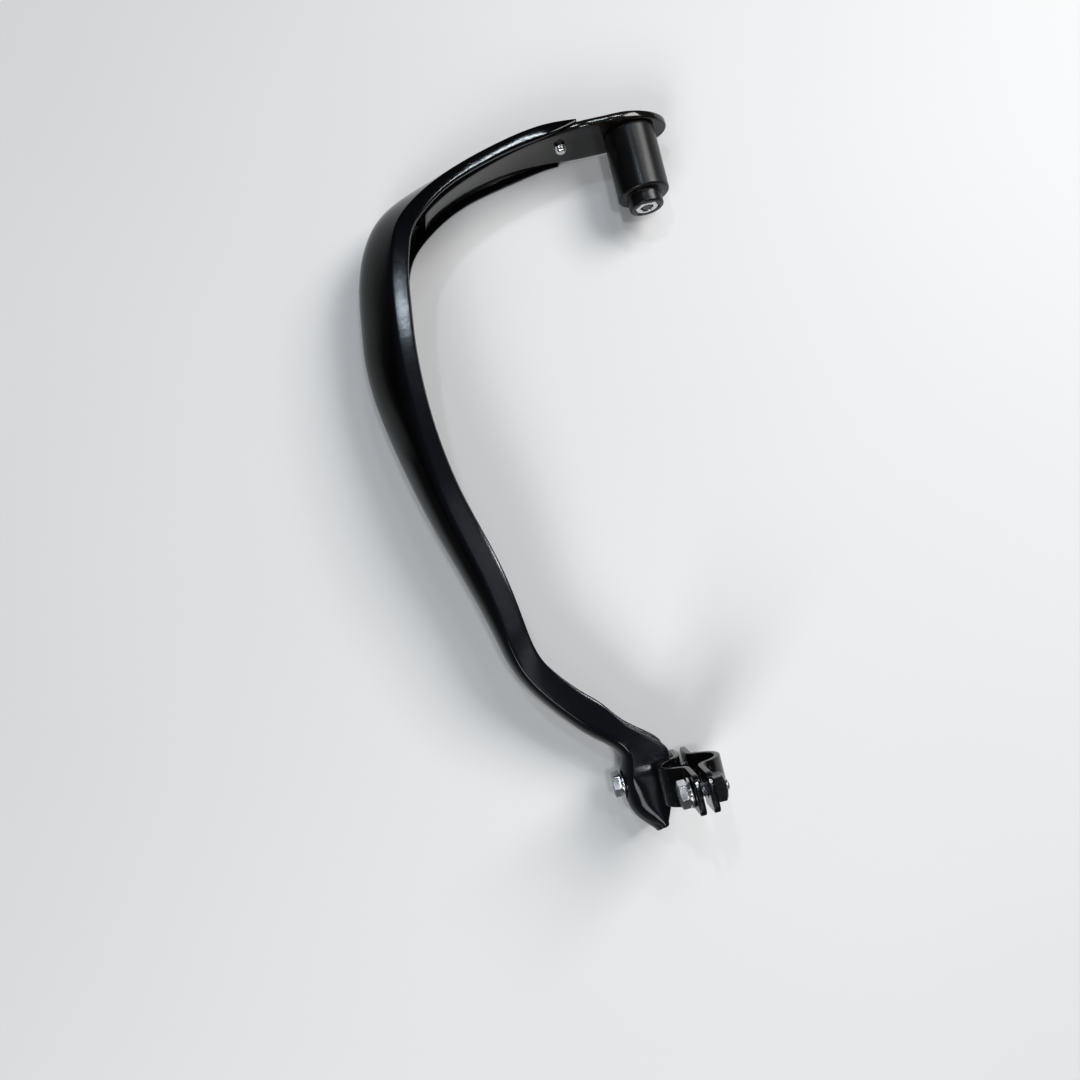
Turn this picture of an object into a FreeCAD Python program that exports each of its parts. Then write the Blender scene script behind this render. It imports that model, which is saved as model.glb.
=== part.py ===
import FreeCAD, Part
import os, math

os.makedirs("parts", exist_ok=True)
V = FreeCAD.Vector

# ---------------------------------------------------------------- driving dimensions (mm)
# Frame: +Z up, +Y outboard along the grip, -X forward (the convex side of the guard).
# All plan numbers below are in working coordinates; SHIFT_* brings the box's bottom centre to 0,0,0.
SHIFT_X = -28.805
SHIFT_Y = -53.625

# Shell: one row per cross-section of the channel, from the outboard end to the inner end:
# x, y of the upper outer edge, upper rail depth, lower rail depth, lean (how far the lower edge
# stands outside the upper one), bulge of the outer wall, fullness of the bulge, height
STATIONS = [
    (66.0, 211.9, 4.4, 4.8, 0.0, 0.3, 0.30, 33.3),
    (52.0, 211.0, 5.3, 6.6, 2.2, 0.2, 0.30, 35.2),
    (38.1, 208.85, 5.8, 8.0, 3.6, 0.3, 0.31, 36.1),
    (24.5, 205.2, 5.7, 8.7, 5.2, 0.8, 0.33, 37.0),
    (11.2, 200.5, 5.6, 8.9, 6.8, 2.2, 0.37, 38.3),
    (-1.4, 194.75, 5.9, 9.2, 7.6, 4.8, 0.41, 39.7),
    (-13.0, 187.4, 6.8, 9.2, 7.5, 8.6, 0.46, 41.1),
    (-21.9, 178.8, 7.7, 9.0, 7.2, 12.0, 0.49, 42.0),
    (-26.8, 167.8, 8.0, 8.6, 7.0, 14.0, 0.50, 42.7),
    (-29.7, 156.2, 8.0, 8.3, 6.8, 14.6, 0.50, 43.2),
    (-31.8, 141.3, 8.0, 8.0, 6.5, 14.9, 0.50, 43.7),
    (-33.2, 125.4, 7.7, 7.7, 6.2, 15.4, 0.50, 44.0),
    (-33.4, 107.4, 7.2, 7.2, 5.8, 14.7, 0.48, 44.0),
    (-32.8, 89.4, 7.2, 7.2, 5.4, 12.6, 0.43, 43.9),
    (-31.5, 71.3, 7.9, 7.9, 4.9, 10.3, 0.37, 43.6),
    (-29.0, 53.4, 8.8, 8.8, 4.3, 8.6, 0.33, 43.1),
    (-24.9, 36.0, 9.4, 9.4, 3.7, 7.8, 0.30, 42.3),
    (-21.0, 20.6, 9.5, 9.5, 3.1, 7.3, 0.30, 41.1),
    (-18.4, 5.9, 9.6, 9.6, 2.5, 6.0, 0.30, 39.5),
    (-16.6, -8.1, 9.6, 9.6, 2.0, 4.6, 0.30, 37.6),
    (-13.8, -21.2, 9.6, 9.6, 1.5, 4.0, 0.30, 35.3),
    (-7.3, -33.8, 9.9, 9.9, 1.0, 3.9, 0.30, 32.4),
    (2.6, -46.4, 10.2, 10.2, 0.6, 4.0, 0.30, 29.2),
    (12.7, -56.9, 10.3, 10.3, 0.3, 4.2, 0.30, 26.3),
    (23.0, -67.0, 10.0, 10.0, 0.0, 4.5, 0.30, 24.0),
    (25.0, -69.0, 10.0, 10.0, 0.0, 4.5, 0.30, 24.0),
]
RAIL_RAMP = [0.8, 1.8]  # the rails thin out at the outboard end
BASE_RAMP = [1.2, 0.5, 0.15, 0.04]  # and the lower one lifts there
RAIL_T = 2.6            # thickness of the two rails
LOWER_RAIL_END = 57.5   # the lower rail stops here, the wall goes on over the strap
WEB_T_START = 0.9       # wall at the outboard end, over the strap
WEB_T = 2.8             # wall elsewhere

# Lug at the inner end of the shell
LUG_H = 24.0
LUG_EDGE_INSET = 4.2    # how far the convex wall draws in at the upper and lower edges
LUG_WALL = 3.0
LUG_WEST = [(19.9, -70.0), (18.6, -78.0), (18.3, -88.0), (20.3, -96.6), (24.4, -102.0), (30.2, -107.4)]
LUG_EAST = [(30.2, -107.4), (36.3, -96.5), (39.4, -84.0), (40.2, -75.0), (38.2, -67.4), (30.07, -59.93)]
LUG_BOLT_Y = -83.0
LUG_BOLT_Z = 12.0
LUG_SEAT_X = 19.6       # flat seat for the washer on the outside
LUG_SEAT_R = 7.0
LUG_BOSS_R = 6.5
LUG_HOLE_R = 3.3
LUG_CROWN_Y = -74.0     # from here to the tip the upper and lower faces round off
LUG_CROWN_R = 165.0

# Strap with the tongue
STRAP_T = 3.5
STRAP_Z0 = 2.9
STRAP_Z1 = 32.3
STRAP_GAP = 0.4        # between strap and shell wall at the outboard end
STRAP_GAP_CURVE = 0.5   # the same along the curve
TIP = (109.5, 14.5)     # x, z of the end of the tongue
TIP_UPPER = [(83.0, 32.6), (97.0, 32.6), (109.5, 22.0)]
TIP_LOWER = [(109.5, 7.0), (103.0, 2.6), (94.0, 2.6)]
TONGUE_HOLE_X = 91.0
TONGUE_HOLE_Z = 17.0
TONGUE_HOLE_R = 4.2
STRAP_STATIONS = 7      # the strap ends inside the corner at this station

# Strap screw
SCREW_X = 58.0
SCREW_Z = 19.5
SCREW_R = 2.5
SCREW_HEAD_R = 4.75
SCREW_HEAD_H = 3.0
SCREW_STICKS_OUT = 3.2

# Bar-end spacer, its bolt and nut
BARREL_R = 12.0
BARREL_L = 31.0
SPIGOT_R = 8.0
SPIGOT_L = 6.0
BARREL_BORE_R = 3.3
NECK_R = 4.0
NECK_L = 5.6
HEAD_R = 10.0
HEAD_H = 2.2

# M6 fasteners
M6_R = 3.0
M6_NUT_BORE_R = 3.05
M6_HEX_AF = 10.0
M6_HEAD_H = 4.0
M6_NUT_H = 5.0
WASHER_R = 6.0
WASHER_BORE_R = 3.2
WASHER_T = 1.6

# Handlebar clamp
BAR_R = 11.1            # 22.2 mm handlebar
STRIP_T = 2.5
STRIP_W = 16.0
STRIP_HALF = 34.0
STRIP_GAP = 3.0
SHOULDER_R = 4.5
CLAMP_HOLE = 24.5       # bolt to bar axis
CLAMP_FACE_X = 42.3     # face of the boss that the first strip lies on
SQUARE_NUT = 10.0
SQUARE_NUT_H = 5.0
LOWER_BOLT_L = 40.0
UPPER_BOLT_L = 16.0


# ---------------------------------------------------------------- helpers
def save(shape, name):
    shape = shape.copy()
    shape.translate(V(SHIFT_X, SHIFT_Y, 0))
    shape.exportStep("parts/%s.step" % name)
    bb = shape.BoundBox
    print("%-22s valid %s solids %d vol %.2f cm3  x %.2f..%.2f y %.2f..%.2f z %.2f..%.2f" % (
        name, shape.isValid(), len(shape.Solids), shape.Volume / 1000.0,
        bb.XMin, bb.XMax, bb.YMin, bb.YMax, bb.ZMin, bb.ZMax))
    return bb


def cyl(r, length, start, axis):
    return Part.makeCylinder(r, length, start, axis)


def bezier(*pts):
    c = Part.BezierCurve()
    c.setPoles(list(pts))
    return c.toShape()


def line(a, b):
    return Part.makeLine(a, b)


def spline(pts, t0=None, t1=None):
    c = Part.BSplineCurve()
    if t0 is not None and t1 is not None:
        c.interpolate(Points=pts, InitialTangent=t0, FinalTangent=t1)
    else:
        c.interpolate(pts)
    return c


def hex_prism(af, height, centre, axis, turn=0.0):
    """Hexagonal prism along axis from centre."""
    r = af / math.sqrt(3.0)
    axis = V(axis)
    axis.normalize()
    side = V(0, 0, 1)
    other = axis.cross(side)
    pts = []
    for k in range(6):
        a = math.radians(60.0 * k + turn)
        pts.append(centre + side * (r * math.cos(a)) + other * (r * math.sin(a)))
    pts.append(pts[0])
    return Part.Face(Part.makePolygon(pts)).extrude(axis * height)


def hex_head(af, height, centre, axis):
    """Hexagonal head with its free end turned to a cone."""
    body = hex_prism(af, height, centre, axis)
    r = af / math.sqrt(3.0)
    far = centre + V(axis) * height
    cone = Part.makeCone(af * 0.48 + height + 0.6, af * 0.48, height + 0.6, far - V(axis) * (height + 0.6), V(axis))
    return body.common(cone)


def hex_nut(af, height, centre, axis, bore):
    body = hex_prism(af, height, centre, axis)
    a = V(axis)
    mid = centre + a * (height / 2.0)
    r0 = af * 0.48
    grow = height / 2.0 + 0.4
    c1 = Part.makeCone(r0 + 2.0 * grow, r0, grow, mid + a * (height / 2.0 - grow), a)
    c2 = Part.makeCone(r0 + 2.0 * grow, r0, grow, mid - a * (height / 2.0 - grow), a * -1)
    body = body.common(c1.fuse(cyl(af, height / 2.0, centre, a)))
    body = body.common(c2.fuse(cyl(af, height / 2.0, mid, a)))
    return body.cut(cyl(bore, height + 2.0, centre - a, a))


def bolt(af, head_h, r, length, seat, axis, chamfer=0.6):
    """Hexagon bolt; seat is the point under its head, axis the way its shank points."""
    a = V(axis)
    head = hex_head(af, head_h, seat, a * -1)
    shank = cyl(r, length - chamfer, seat, a)
    tip = Part.makeCone(r, r - chamfer, chamfer, seat + a * (length - chamfer), a)
    return head.fuse(shank).fuse(tip).removeSplitter()


def washer(r, bore, t, seat, axis):
    return cyl(r, t, seat, axis).cut(cyl(bore, t + 2.0, seat - V(axis), axis))


# ---------------------------------------------------------------- shell: lofted channel
path_pts = [V(s[0], s[1], 0) for s in STATIONS]
path = spline(path_pts, V(-1, -0.03, 0), V(1, -1, 0))


def plan_normal(p):
    """Unit vector that points to the inside of the guard at a path point."""
    t = path.tangent(path.parameter(p))[0]
    return V(-t.y, t.x, 0)


def web_t(i):
    ramp = [WEB_T_START, 1.5, 1.8, 2.0, 2.2, 2.5]
    return ramp[i] if i < len(ramp) else WEB_T


wires = []
normals = []
for i, (x, y, upper, lower, lean, bulge, full, height) in enumerate(STATIONS):
    p = V(x, y, 0)
    n = plan_normal(p)
    normals.append(n)
    wt = web_t(i)
    rail = RAIL_RAMP[i] if i < len(RAIL_RAMP) else RAIL_T
    base = BASE_RAMP[i] if i < len(BASE_RAMP) else 0.0

    def at(u, z, p=p, n=n, lean=lean, height=height):
        u = u - lean * (1.0 - z / height)
        return V(p.x + n.x * u, p.y + n.y * u, z)

    k = bulge * 4.0 / 3.0
    tall = height - base
    zi0, zi1 = base + rail, height - rail
    hi = zi1 - zi0
    a, b = at(0, height), at(0, base)
    c, d = at(lower, base), at(lower, zi0)
    e, f = at(wt, zi0), at(wt, zi1)
    g, h = at(upper, zi1), at(upper, height)
    wires.append(Part.Wire([
        bezier(a, at(-k, base + tall * (1 - full)), at(-k, base + tall * full), b),
        line(b, c), line(c, d), line(d, e),
        bezier(e, at(wt - k, zi0 + hi * full), at(wt - k, zi1 - hi * full), f),
        line(f, g), line(g, h), line(h, a)]))
channel = Part.makeLoft(wires, True, False)

# ---------------------------------------------------------------- shell: lug


def inward(pts, i):
    """Unit plan normal of the west side of the lug, to its inside."""
    q0 = pts[max(i - 1, 0)]
    q1 = pts[min(i + 1, len(pts) - 1)]
    t = V(q1[0] - q0[0], q1[1] - q0[1], 0)
    t.normalize()
    return V(-t.y, t.x, 0)


def lug_wire(inset, z, east_out=0.0, north_out=0.0):
    west = []
    for i, q in enumerate(LUG_WEST):
        n = inward(LUG_WEST, i)
        west.append(V(q[0] + n.x * inset, q[1] + n.y * inset, z))
    east = [V(q[0] + east_out, q[1], z) for q in LUG_EAST]
    east[0] = west[-1] + V(east_out, 0, 0) if east_out else west[-1]
    nvec = V(-0.707, 0.707, 0) * north_out
    west[0] = west[0] + nvec
    east[-1] = east[-1] + nvec
    edges = [spline(west).toShape()]
    if east_out:
        edges.append(line(west[-1], east[0]))
    edges.append(spline(east).toShape())
    edges.append(line(east[-1], west[0]))
    return Part.Wire(edges)


mid = LUG_H / 2.0
outer_wires = []
for z in (0.0, mid * 0.33, mid, LUG_H - mid * 0.33, LUG_H):
    outer_wires.append(lug_wire(LUG_EDGE_INSET * ((z - mid) / mid) ** 2, z))
lug = Part.makeLoft(outer_wires, True, False)

pocket_wires = []
for z in (RAIL_T, mid * 0.55, mid, LUG_H - mid * 0.55, LUG_H - RAIL_T):
    inset = LUG_WALL + LUG_EDGE_INSET * ((z - mid) / mid) ** 2
    pocket_wires.append(lug_wire(inset, z, east_out=14.0, north_out=6.0))
pocket = Part.makeLoft(pocket_wires, True, False)


def crown(inset):
    """Space between the two rounded faces of the lug, drawn in by inset."""
    r = LUG_CROWN_R
    y0, y1 = LUG_CROWN_Y, LUG_CROWN_Y - 50.0
    drop = r - math.sqrt(r * r - 50.0 * 50.0)
    half = r - math.sqrt(r * r - 25.0 * 25.0)
    top, low = LUG_H + 0.05 - inset, -0.05 + inset
    w = Part.Wire([
        line(V(0, y0 + 60, low), V(0, y0, low)),
        Part.Arc(V(0, y0, low), V(0, y0 - 25.0, low + half), V(0, y1, low + drop)).toShape(),
        line(V(0, y1, low + drop), V(0, y1, top - drop)),
        Part.Arc(V(0, y1, top - drop), V(0, y0 - 25.0, top - half), V(0, y0, top)).toShape(),
        line(V(0, y0, top), V(0, y0 + 60, top)),
        line(V(0, y0 + 60, top), V(0, y0 + 60, low))])
    return Part.Face(w).extrude(V(90, 0, 0))


lug = lug.common(crown(0.0)).cut(pocket.common(crown(RAIL_T)))

boss = cyl(LUG_BOSS_R, CLAMP_FACE_X - 20.5, V(20.5, LUG_BOLT_Y, LUG_BOLT_Z), V(1, 0, 0))
seat_cut = cyl(LUG_SEAT_R, 12.0, V(LUG_SEAT_X - 12.0, LUG_BOLT_Y, LUG_BOLT_Z), V(1, 0, 0))
bolt_hole = cyl(LUG_HOLE_R, 60.0, V(0, LUG_BOLT_Y, LUG_BOLT_Z), V(1, 0, 0))

shell = channel.fuse(lug).fuse(boss)
shell = shell.cut(seat_cut).cut(bolt_hole)
shell = shell.cut(Part.makeBox(20.0, 12.0, 4.0, V(LOWER_RAIL_END, STATIONS[0][1] - WEB_T_START - 0.15 - 12.0, -1.0)))

# hole and flat seat for the strap screw
web_y = STATIONS[0][1] - STRAP_GAP - WEB_T_START     # outer face of the strap
SCREW_SEAT_Y = STATIONS[0][1] - 0.25
shell = shell.cut(cyl(SCREW_HEAD_R + 0.5, 6.0, V(SCREW_X, SCREW_SEAT_Y, SCREW_Z), V(0, 1, 0)))
shell = shell.cut(cyl(SCREW_R + 0.2, 8.0, V(SCREW_X, web_y - 3.0, SCREW_Z), V(0, 1, 0)))

# ---------------------------------------------------------------- strap with tongue


def strap_wire(z):
    outer_pts = [V(STATIONS[0][0], web_y, z)]
    inner_pts = [V(STATIONS[0][0], web_y - STRAP_T, z)]
    for i in range(1, STRAP_STATIONS):
        x, y, lean, height = STATIONS[i][0], STATIONS[i][1], STATIONS[i][4], STATIONS[i][7]
        n = normals[i]
        u = web_t(i) + STRAP_GAP_CURVE - lean * (1.0 - z / height)
        outer_pts.append(V(x + n.x * u, y + n.y * u, z))
        inner_pts.append(V(x + n.x * (u + STRAP_T), y + n.y * (u + STRAP_T), z))
    nl = normals[STRAP_STATIONS - 1]
    t_end = V(nl.y, -nl.x, 0)
    far = TIP[0] + 2.0
    return Part.Wire(Part.__sortEdges__([
        line(V(far, web_y, z), outer_pts[0]),
        spline(outer_pts, V(-1, 0, 0), t_end).toShape(),
        line(outer_pts[-1], inner_pts[-1]),
        spline(inner_pts, V(-1, 0, 0), t_end).toShape(),
        line(inner_pts[0], V(far, web_y - STRAP_T, z)),
        line(V(far, web_y - STRAP_T, z), V(far, web_y, z))]))


strap = Part.makeLoft([strap_wire(STRAP_Z0), strap_wire(STRAP_Z1)], True, True)


def xz(q):
    return V(q[0], web_y - STRAP_T - 2.0, q[1])


keep = Part.Face(Part.Wire([
    bezier(*[xz(q) for q in TIP_UPPER + [TIP]]),
    bezier(*[xz(q) for q in [TIP] + TIP_LOWER]),
    line(xz(TIP_LOWER[-1]), xz((TIP_LOWER[-1][0], -5.0))),
    line(xz((TIP_LOWER[-1][0], -5.0)), xz((TIP_UPPER[0][0], -5.0))),
    line(xz((TIP_UPPER[0][0], -5.0)), xz(TIP_UPPER[0]))])).extrude(V(0, STRAP_T + 4.0, 0))
tip_cut = Part.makeBox(TIP[0] + 5.0 - TIP_UPPER[0][0], STRAP_T + 3.0, 50.0,
                       V(TIP_UPPER[0][0], web_y - STRAP_T - 1.5, -5.0)).cut(keep)
strap = strap.cut(tip_cut)
strap = strap.cut(cyl(TONGUE_HOLE_R, 20.0, V(TONGUE_HOLE_X, web_y - 12.0, TONGUE_HOLE_Z), V(0, 1, 0)))
strap = strap.cut(cyl(SCREW_R + 0.05, 20.0, V(SCREW_X, web_y - 12.0, SCREW_Z), V(0, 1, 0)))
inner_y = web_y - STRAP_T

# ---------------------------------------------------------------- strap screw
sx = V(SCREW_X, SCREW_SEAT_Y, SCREW_Z)
head = cyl(SCREW_HEAD_R, SCREW_HEAD_H, sx, V(0, 1, 0))
rim = [e for e in head.Edges if abs(e.BoundBox.YMin - (SCREW_SEAT_Y + SCREW_HEAD_H)) < 1e-6 and e.BoundBox.YLength < 1e-3]
head = head.makeFillet(1.8, rim)
slot_depth = 1.4
for wide, tall in ((5.4, 1.2), (1.2, 5.4)):
    head = head.cut(Part.makeBox(wide, slot_depth + 1, tall, V(SCREW_X - wide / 2, SCREW_SEAT_Y + SCREW_HEAD_H - slot_depth, SCREW_Z - tall / 2)))
screw_len = SCREW_SEAT_Y - inner_y + SCREW_STICKS_OUT
screw = head.fuse(cyl(SCREW_R, screw_len - 0.7, sx, V(0, -1, 0)))
screw = screw.fuse(Part.makeCone(SCREW_R, SCREW_R - 0.7, 0.7, sx - V(0, screw_len - 0.7, 0), V(0, -1, 0))).removeSplitter()

# ---------------------------------------------------------------- bar-end spacer, bolt, nut
bx = V(TONGUE_HOLE_X, inner_y, TONGUE_HOLE_Z)
inb = V(0, -1, 0)
barrel = cyl(BARREL_R, BARREL_L, bx, inb)
ends = [e for e in barrel.Edges if e.BoundBox.YLength < 1e-3]
barrel = barrel.makeFillet(1.0, ends)
spig = cyl(SPIGOT_R, SPIGOT_L + 1.0, bx + inb * (BARREL_L - 1.0), inb)
barrel = barrel.fuse(spig).removeSplitter()
barrel = barrel.cut(cyl(BARREL_BORE_R, BARREL_L + SPIGOT_L + 2.0, bx - inb, inb))
barrel = barrel.cut(cyl(NECK_R + 0.2, NECK_L - STRAP_T + 0.4 + 1.0, bx - inb, inb))
nut_seat = bx + inb * (BARREL_L + SPIGOT_L - M6_NUT_H)
barrel = barrel.cut(hex_prism(M6_HEX_AF + 0.3, M6_NUT_H + 1.0, nut_seat, inb))

hb = V(TONGUE_HOLE_X, web_y, TONGUE_HOLE_Z)
bolt_l = STRAP_T + BARREL_L + SPIGOT_L - 0.4
plate = cyl(HEAD_R, HEAD_H, hb, V(0, 1, 0))
top_edge = [e for e in plate.Edges if abs(e.BoundBox.YMax - (hb.y + HEAD_H)) < 1e-3 and e.BoundBox.YLength < 1e-3]
plate = plate.makeFillet(0.8, top_edge)
plate = plate.cut(hex_prism(5.0, HEAD_H, hb + V(0, HEAD_H - 1.7, 0), V(0, 1, 0)))
bar_bolt = plate.fuse(cyl(NECK_R, NECK_L, hb, inb)).fuse(cyl(M6_R, bolt_l - 0.6, hb, inb))
bar_bolt = bar_bolt.fuse(Part.makeCone(M6_R, M6_R - 0.6, 0.6, hb + inb * (bolt_l - 0.6), inb)).removeSplitter()
bar_nut = hex_nut(M6_HEX_AF, M6_NUT_H, nut_seat, inb, M6_NUT_BORE_R)

# ---------------------------------------------------------------- handlebar clamp
BAR_X = CLAMP_FACE_X + STRIP_T + STRIP_GAP / 2.0
BAR_Z = LUG_BOLT_Z + CLAMP_HOLE
y0 = LUG_BOLT_Y - STRIP_W / 2.0


def strip(side):
    """Clamp strip; side -1 lies on the lug, +1 carries the nuts."""
    f_in = STRIP_GAP / 2.0
    f_out = f_in + STRIP_T
    rm = BAR_R + STRIP_T / 2.0
    fm = f_in + STRIP_T / 2.0
    zs = math.sqrt((rm + SHOULDER_R) ** 2 - (fm + SHOULDER_R) ** 2)
    ux, uz = (fm + SHOULDER_R) / (rm + SHOULDER_R), zs / (rm + SHOULDER_R)

    def pt(dx, dz):
        return V(BAR_X + side * dx, y0, BAR_Z + dz)

    def shoulder_mid(r):
        # middle of the shoulder arc, seen from its own centre
        a0 = V(-1, 0, 0)
        a1 = V(-ux, 0, -uz)
        m = a0 + a1
        m.normalize()
        return m.x * r, m.z * r

    def profile(r_arc, r_sh, f):
        lo, hi = [], []
        mx, mz = shoulder_mid(r_sh)
        cx, cz = fm + SHOULDER_R, zs
        e = [line(pt(f, -STRIP_HALF), pt(f, -zs))]
        e.append(Part.Arc(pt(f, -zs), pt(cx + mx, -(cz + mz)), pt(ux * r_arc, -uz * r_arc)).toShape())
        e.append(Part.Arc(pt(ux * r_arc, -uz * r_arc), pt(r_arc, 0), pt(ux * r_arc, uz * r_arc)).toShape())
        e.append(Part.Arc(pt(ux * r_arc, uz * r_arc), pt(cx + mx, cz + mz), pt(f, zs)).toShape())
        e.append(line(pt(f, zs), pt(f, STRIP_HALF)))
        return e

    inner = profile(BAR_R, SHOULDER_R + STRIP_T / 2.0, f_in)
    outer = profile(BAR_R + STRIP_T, SHOULDER_R - STRIP_T / 2.0, f_out)
    caps = [line(pt(f_in, -STRIP_HALF), pt(f_out, -STRIP_HALF)), line(pt(f_in, STRIP_HALF), pt(f_out, STRIP_HALF))]
    w = Part.Wire(Part.__sortEdges__(inner + outer + caps))
    s = Part.Face(w).extrude(V(0, STRIP_W, 0))
    ends = [e for e in s.Edges if abs(e.BoundBox.ZLength) < 1e-6 and abs(e.BoundBox.YLength) < 1e-6
            and (abs(e.BoundBox.ZMin - (BAR_Z + STRIP_HALF)) < 1e-6 or abs(e.BoundBox.ZMin - (BAR_Z - STRIP_HALF)) < 1e-6)]
    s = s.makeFillet(3.0, ends)
    for dz in (-CLAMP_HOLE, CLAMP_HOLE):
        s = s.cut(cyl(LUG_HOLE_R, 60.0, V(BAR_X - 30, LUG_BOLT_Y, BAR_Z + dz), V(1, 0, 0)))
    return s


strip_plain = strip(-1)
strip_nuts = strip(1)
nut_face = BAR_X + STRIP_GAP / 2.0 + STRIP_T
weld_nuts = []
for dz in (-CLAMP_HOLE, CLAMP_HOLE):
    n = Part.makeBox(SQUARE_NUT_H, SQUARE_NUT, SQUARE_NUT,
                     V(nut_face, LUG_BOLT_Y - SQUARE_NUT / 2, BAR_Z + dz - SQUARE_NUT / 2))
    cone = Part.makeCone(SQUARE_NUT * 0.56 + SQUARE_NUT_H * 1.6, SQUARE_NUT * 0.56, SQUARE_NUT_H,
                         V(nut_face, LUG_BOLT_Y, BAR_Z + dz), V(1, 0, 0))
    n = n.common(cone)
    n = n.cut(cyl(M6_NUT_BORE_R, SQUARE_NUT_H + 2, V(nut_face - 1, LUG_BOLT_Y, BAR_Z + dz), V(1, 0, 0)))
    weld_nuts.append(n)

lower_seat = V(LUG_SEAT_X, LUG_BOLT_Y, LUG_BOLT_Z)
upper_seat = V(CLAMP_FACE_X, LUG_BOLT_Y, BAR_Z + CLAMP_HOLE)
west = V(-1, 0, 0)
east = V(1, 0, 0)
washers = [washer(WASHER_R, WASHER_BORE_R, WASHER_T, lower_seat, west),
           washer(WASHER_R, WASHER_BORE_R, WASHER_T, upper_seat, west)]
lower_bolt = bolt(M6_HEX_AF, M6_HEAD_H, M6_R, LOWER_BOLT_L, lower_seat + west * WASHER_T, east)
upper_bolt = bolt(M6_HEX_AF, M6_HEAD_H, M6_R, UPPER_BOLT_L, upper_seat + west * WASHER_T, east)

# ---------------------------------------------------------------- files, one per subcomponent
boxes = []
for shape, name in (
        (shell, "shell"),
        (strap, "end_strap"),
        (screw, "strap_screw"),
        (barrel, "bar_end_spacer"),
        (bar_bolt, "bar_end_bolt"),
        (bar_nut, "bar_end_nut"),
        (strip_plain, "clamp_strip_plain"),
        (strip_nuts, "clamp_strip_nut_side"),
        (Part.makeCompound(weld_nuts), "clamp_weld_nuts"),
        (lower_bolt, "clamp_bolt_lower"),
        (upper_bolt, "clamp_bolt_upper"),
        (Part.makeCompound(washers), "clamp_washers")):
    boxes.append(save(shape, name))
total = boxes[0]
for b in boxes[1:]:
    total.add(b)
print("box  x %.3f..%.3f  y %.3f..%.3f  z %.3f..%.3f" % (total.XMin, total.XMax, total.YMin, total.YMax, total.ZMin, total.ZMax))
print("middle", round((total.XMin + total.XMax) / 2, 3), round((total.YMin + total.YMax) / 2, 3))
print("clamp axis", BAR_X + SHIFT_X, LUG_BOLT_Y + SHIFT_Y, BAR_Z)
print("bar end seat", TONGUE_HOLE_X + SHIFT_X, inner_y - BARREL_L + SHIFT_Y, TONGUE_HOLE_Z)
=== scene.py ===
"""Looks of the hand guard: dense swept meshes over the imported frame, with procedural finishes."""

import math

import bmesh
import bpy
import numpy as np
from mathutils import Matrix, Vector, kdtree, noise


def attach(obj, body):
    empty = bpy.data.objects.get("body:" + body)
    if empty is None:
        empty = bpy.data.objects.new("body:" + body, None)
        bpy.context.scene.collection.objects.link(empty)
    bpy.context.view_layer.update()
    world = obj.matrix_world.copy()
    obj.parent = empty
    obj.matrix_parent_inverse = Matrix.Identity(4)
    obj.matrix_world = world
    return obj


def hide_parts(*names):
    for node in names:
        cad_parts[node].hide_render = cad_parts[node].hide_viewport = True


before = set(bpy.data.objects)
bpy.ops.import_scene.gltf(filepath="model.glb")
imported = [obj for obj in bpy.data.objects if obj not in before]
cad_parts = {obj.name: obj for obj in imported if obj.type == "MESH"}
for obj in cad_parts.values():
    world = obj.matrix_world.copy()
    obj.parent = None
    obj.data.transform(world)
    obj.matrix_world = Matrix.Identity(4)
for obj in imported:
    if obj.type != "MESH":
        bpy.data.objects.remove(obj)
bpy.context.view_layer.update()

# Everything below is laid out in millimetres in the drawing frame; row() brings it to the row frame.
SX, SY = -28.805, -53.625
MM = 0.001


def row(a):
    a = np.asarray(a, float)
    return (a + np.array([SX, SY, 0.0])) * MM


# ---------------------------------------------------------------- small geometry helpers

def spline(t, y, q):
    """Natural cubic spline through (t, y), y of any width, at q."""
    t, y, q = np.asarray(t, float), np.asarray(y, float), np.asarray(q, float)
    flat = y.ndim == 1
    if flat:
        y = y[:, None]
    n = len(t)
    h = np.diff(t)
    a = np.zeros((n, n))
    b = np.zeros_like(y)
    a[0, 0] = a[-1, -1] = 1.0
    for i in range(1, n - 1):
        a[i, i - 1], a[i, i], a[i, i + 1] = h[i - 1], 2 * (h[i - 1] + h[i]), h[i]
        b[i] = 6 * ((y[i + 1] - y[i]) / h[i] - (y[i] - y[i - 1]) / h[i - 1])
    m = np.linalg.solve(a, b)
    k = np.clip(np.searchsorted(t, q, side="right") - 1, 0, n - 2)
    d = (q - t[k])[:, None]
    hk = h[k][:, None]
    out = (
        y[k]
        + d * ((y[k + 1] - y[k]) / hk - hk * (2 * m[k] + m[k + 1]) / 6)
        + d ** 2 * m[k] / 2
        + d ** 3 * (m[k + 1] - m[k]) / (6 * hk)
    )
    return out[:, 0] if flat else out


def even(y, passes, lam=0.5, mu=-0.52):
    """Low-pass a sequence without shrinking it; the ends stay."""
    y = np.array(y, float)
    for _ in range(passes):
        for w in (lam, mu):
            step = np.zeros_like(y)
            step[1:-1] = 0.5 * (y[:-2] + y[2:]) - y[1:-1]
            y = y + w * step
    return y


def unit(v):
    v = np.asarray(v, float)
    return v / np.linalg.norm(v, axis=-1, keepdims=True)


def bez2(a, b, c, n):
    t = np.linspace(0, 1, n)[:, None]
    return (1 - t) ** 2 * np.array(a) + 2 * t * (1 - t) * np.array(b) + t * t * np.array(c)


def bez3(p, t):
    t = np.asarray(t, float)[:, None]
    return (
        (1 - t) ** 3 * np.array(p[0])
        + 3 * t * (1 - t) ** 2 * np.array(p[1])
        + 3 * t * t * (1 - t) * np.array(p[2])
        + t ** 3 * np.array(p[3])
    )


def line(a, b, n):
    """n points strictly between a and b."""
    t = np.linspace(0, 1, n + 2)[1:-1, None]
    return (1 - t) * np.array(a) + t * np.array(b)


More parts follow.
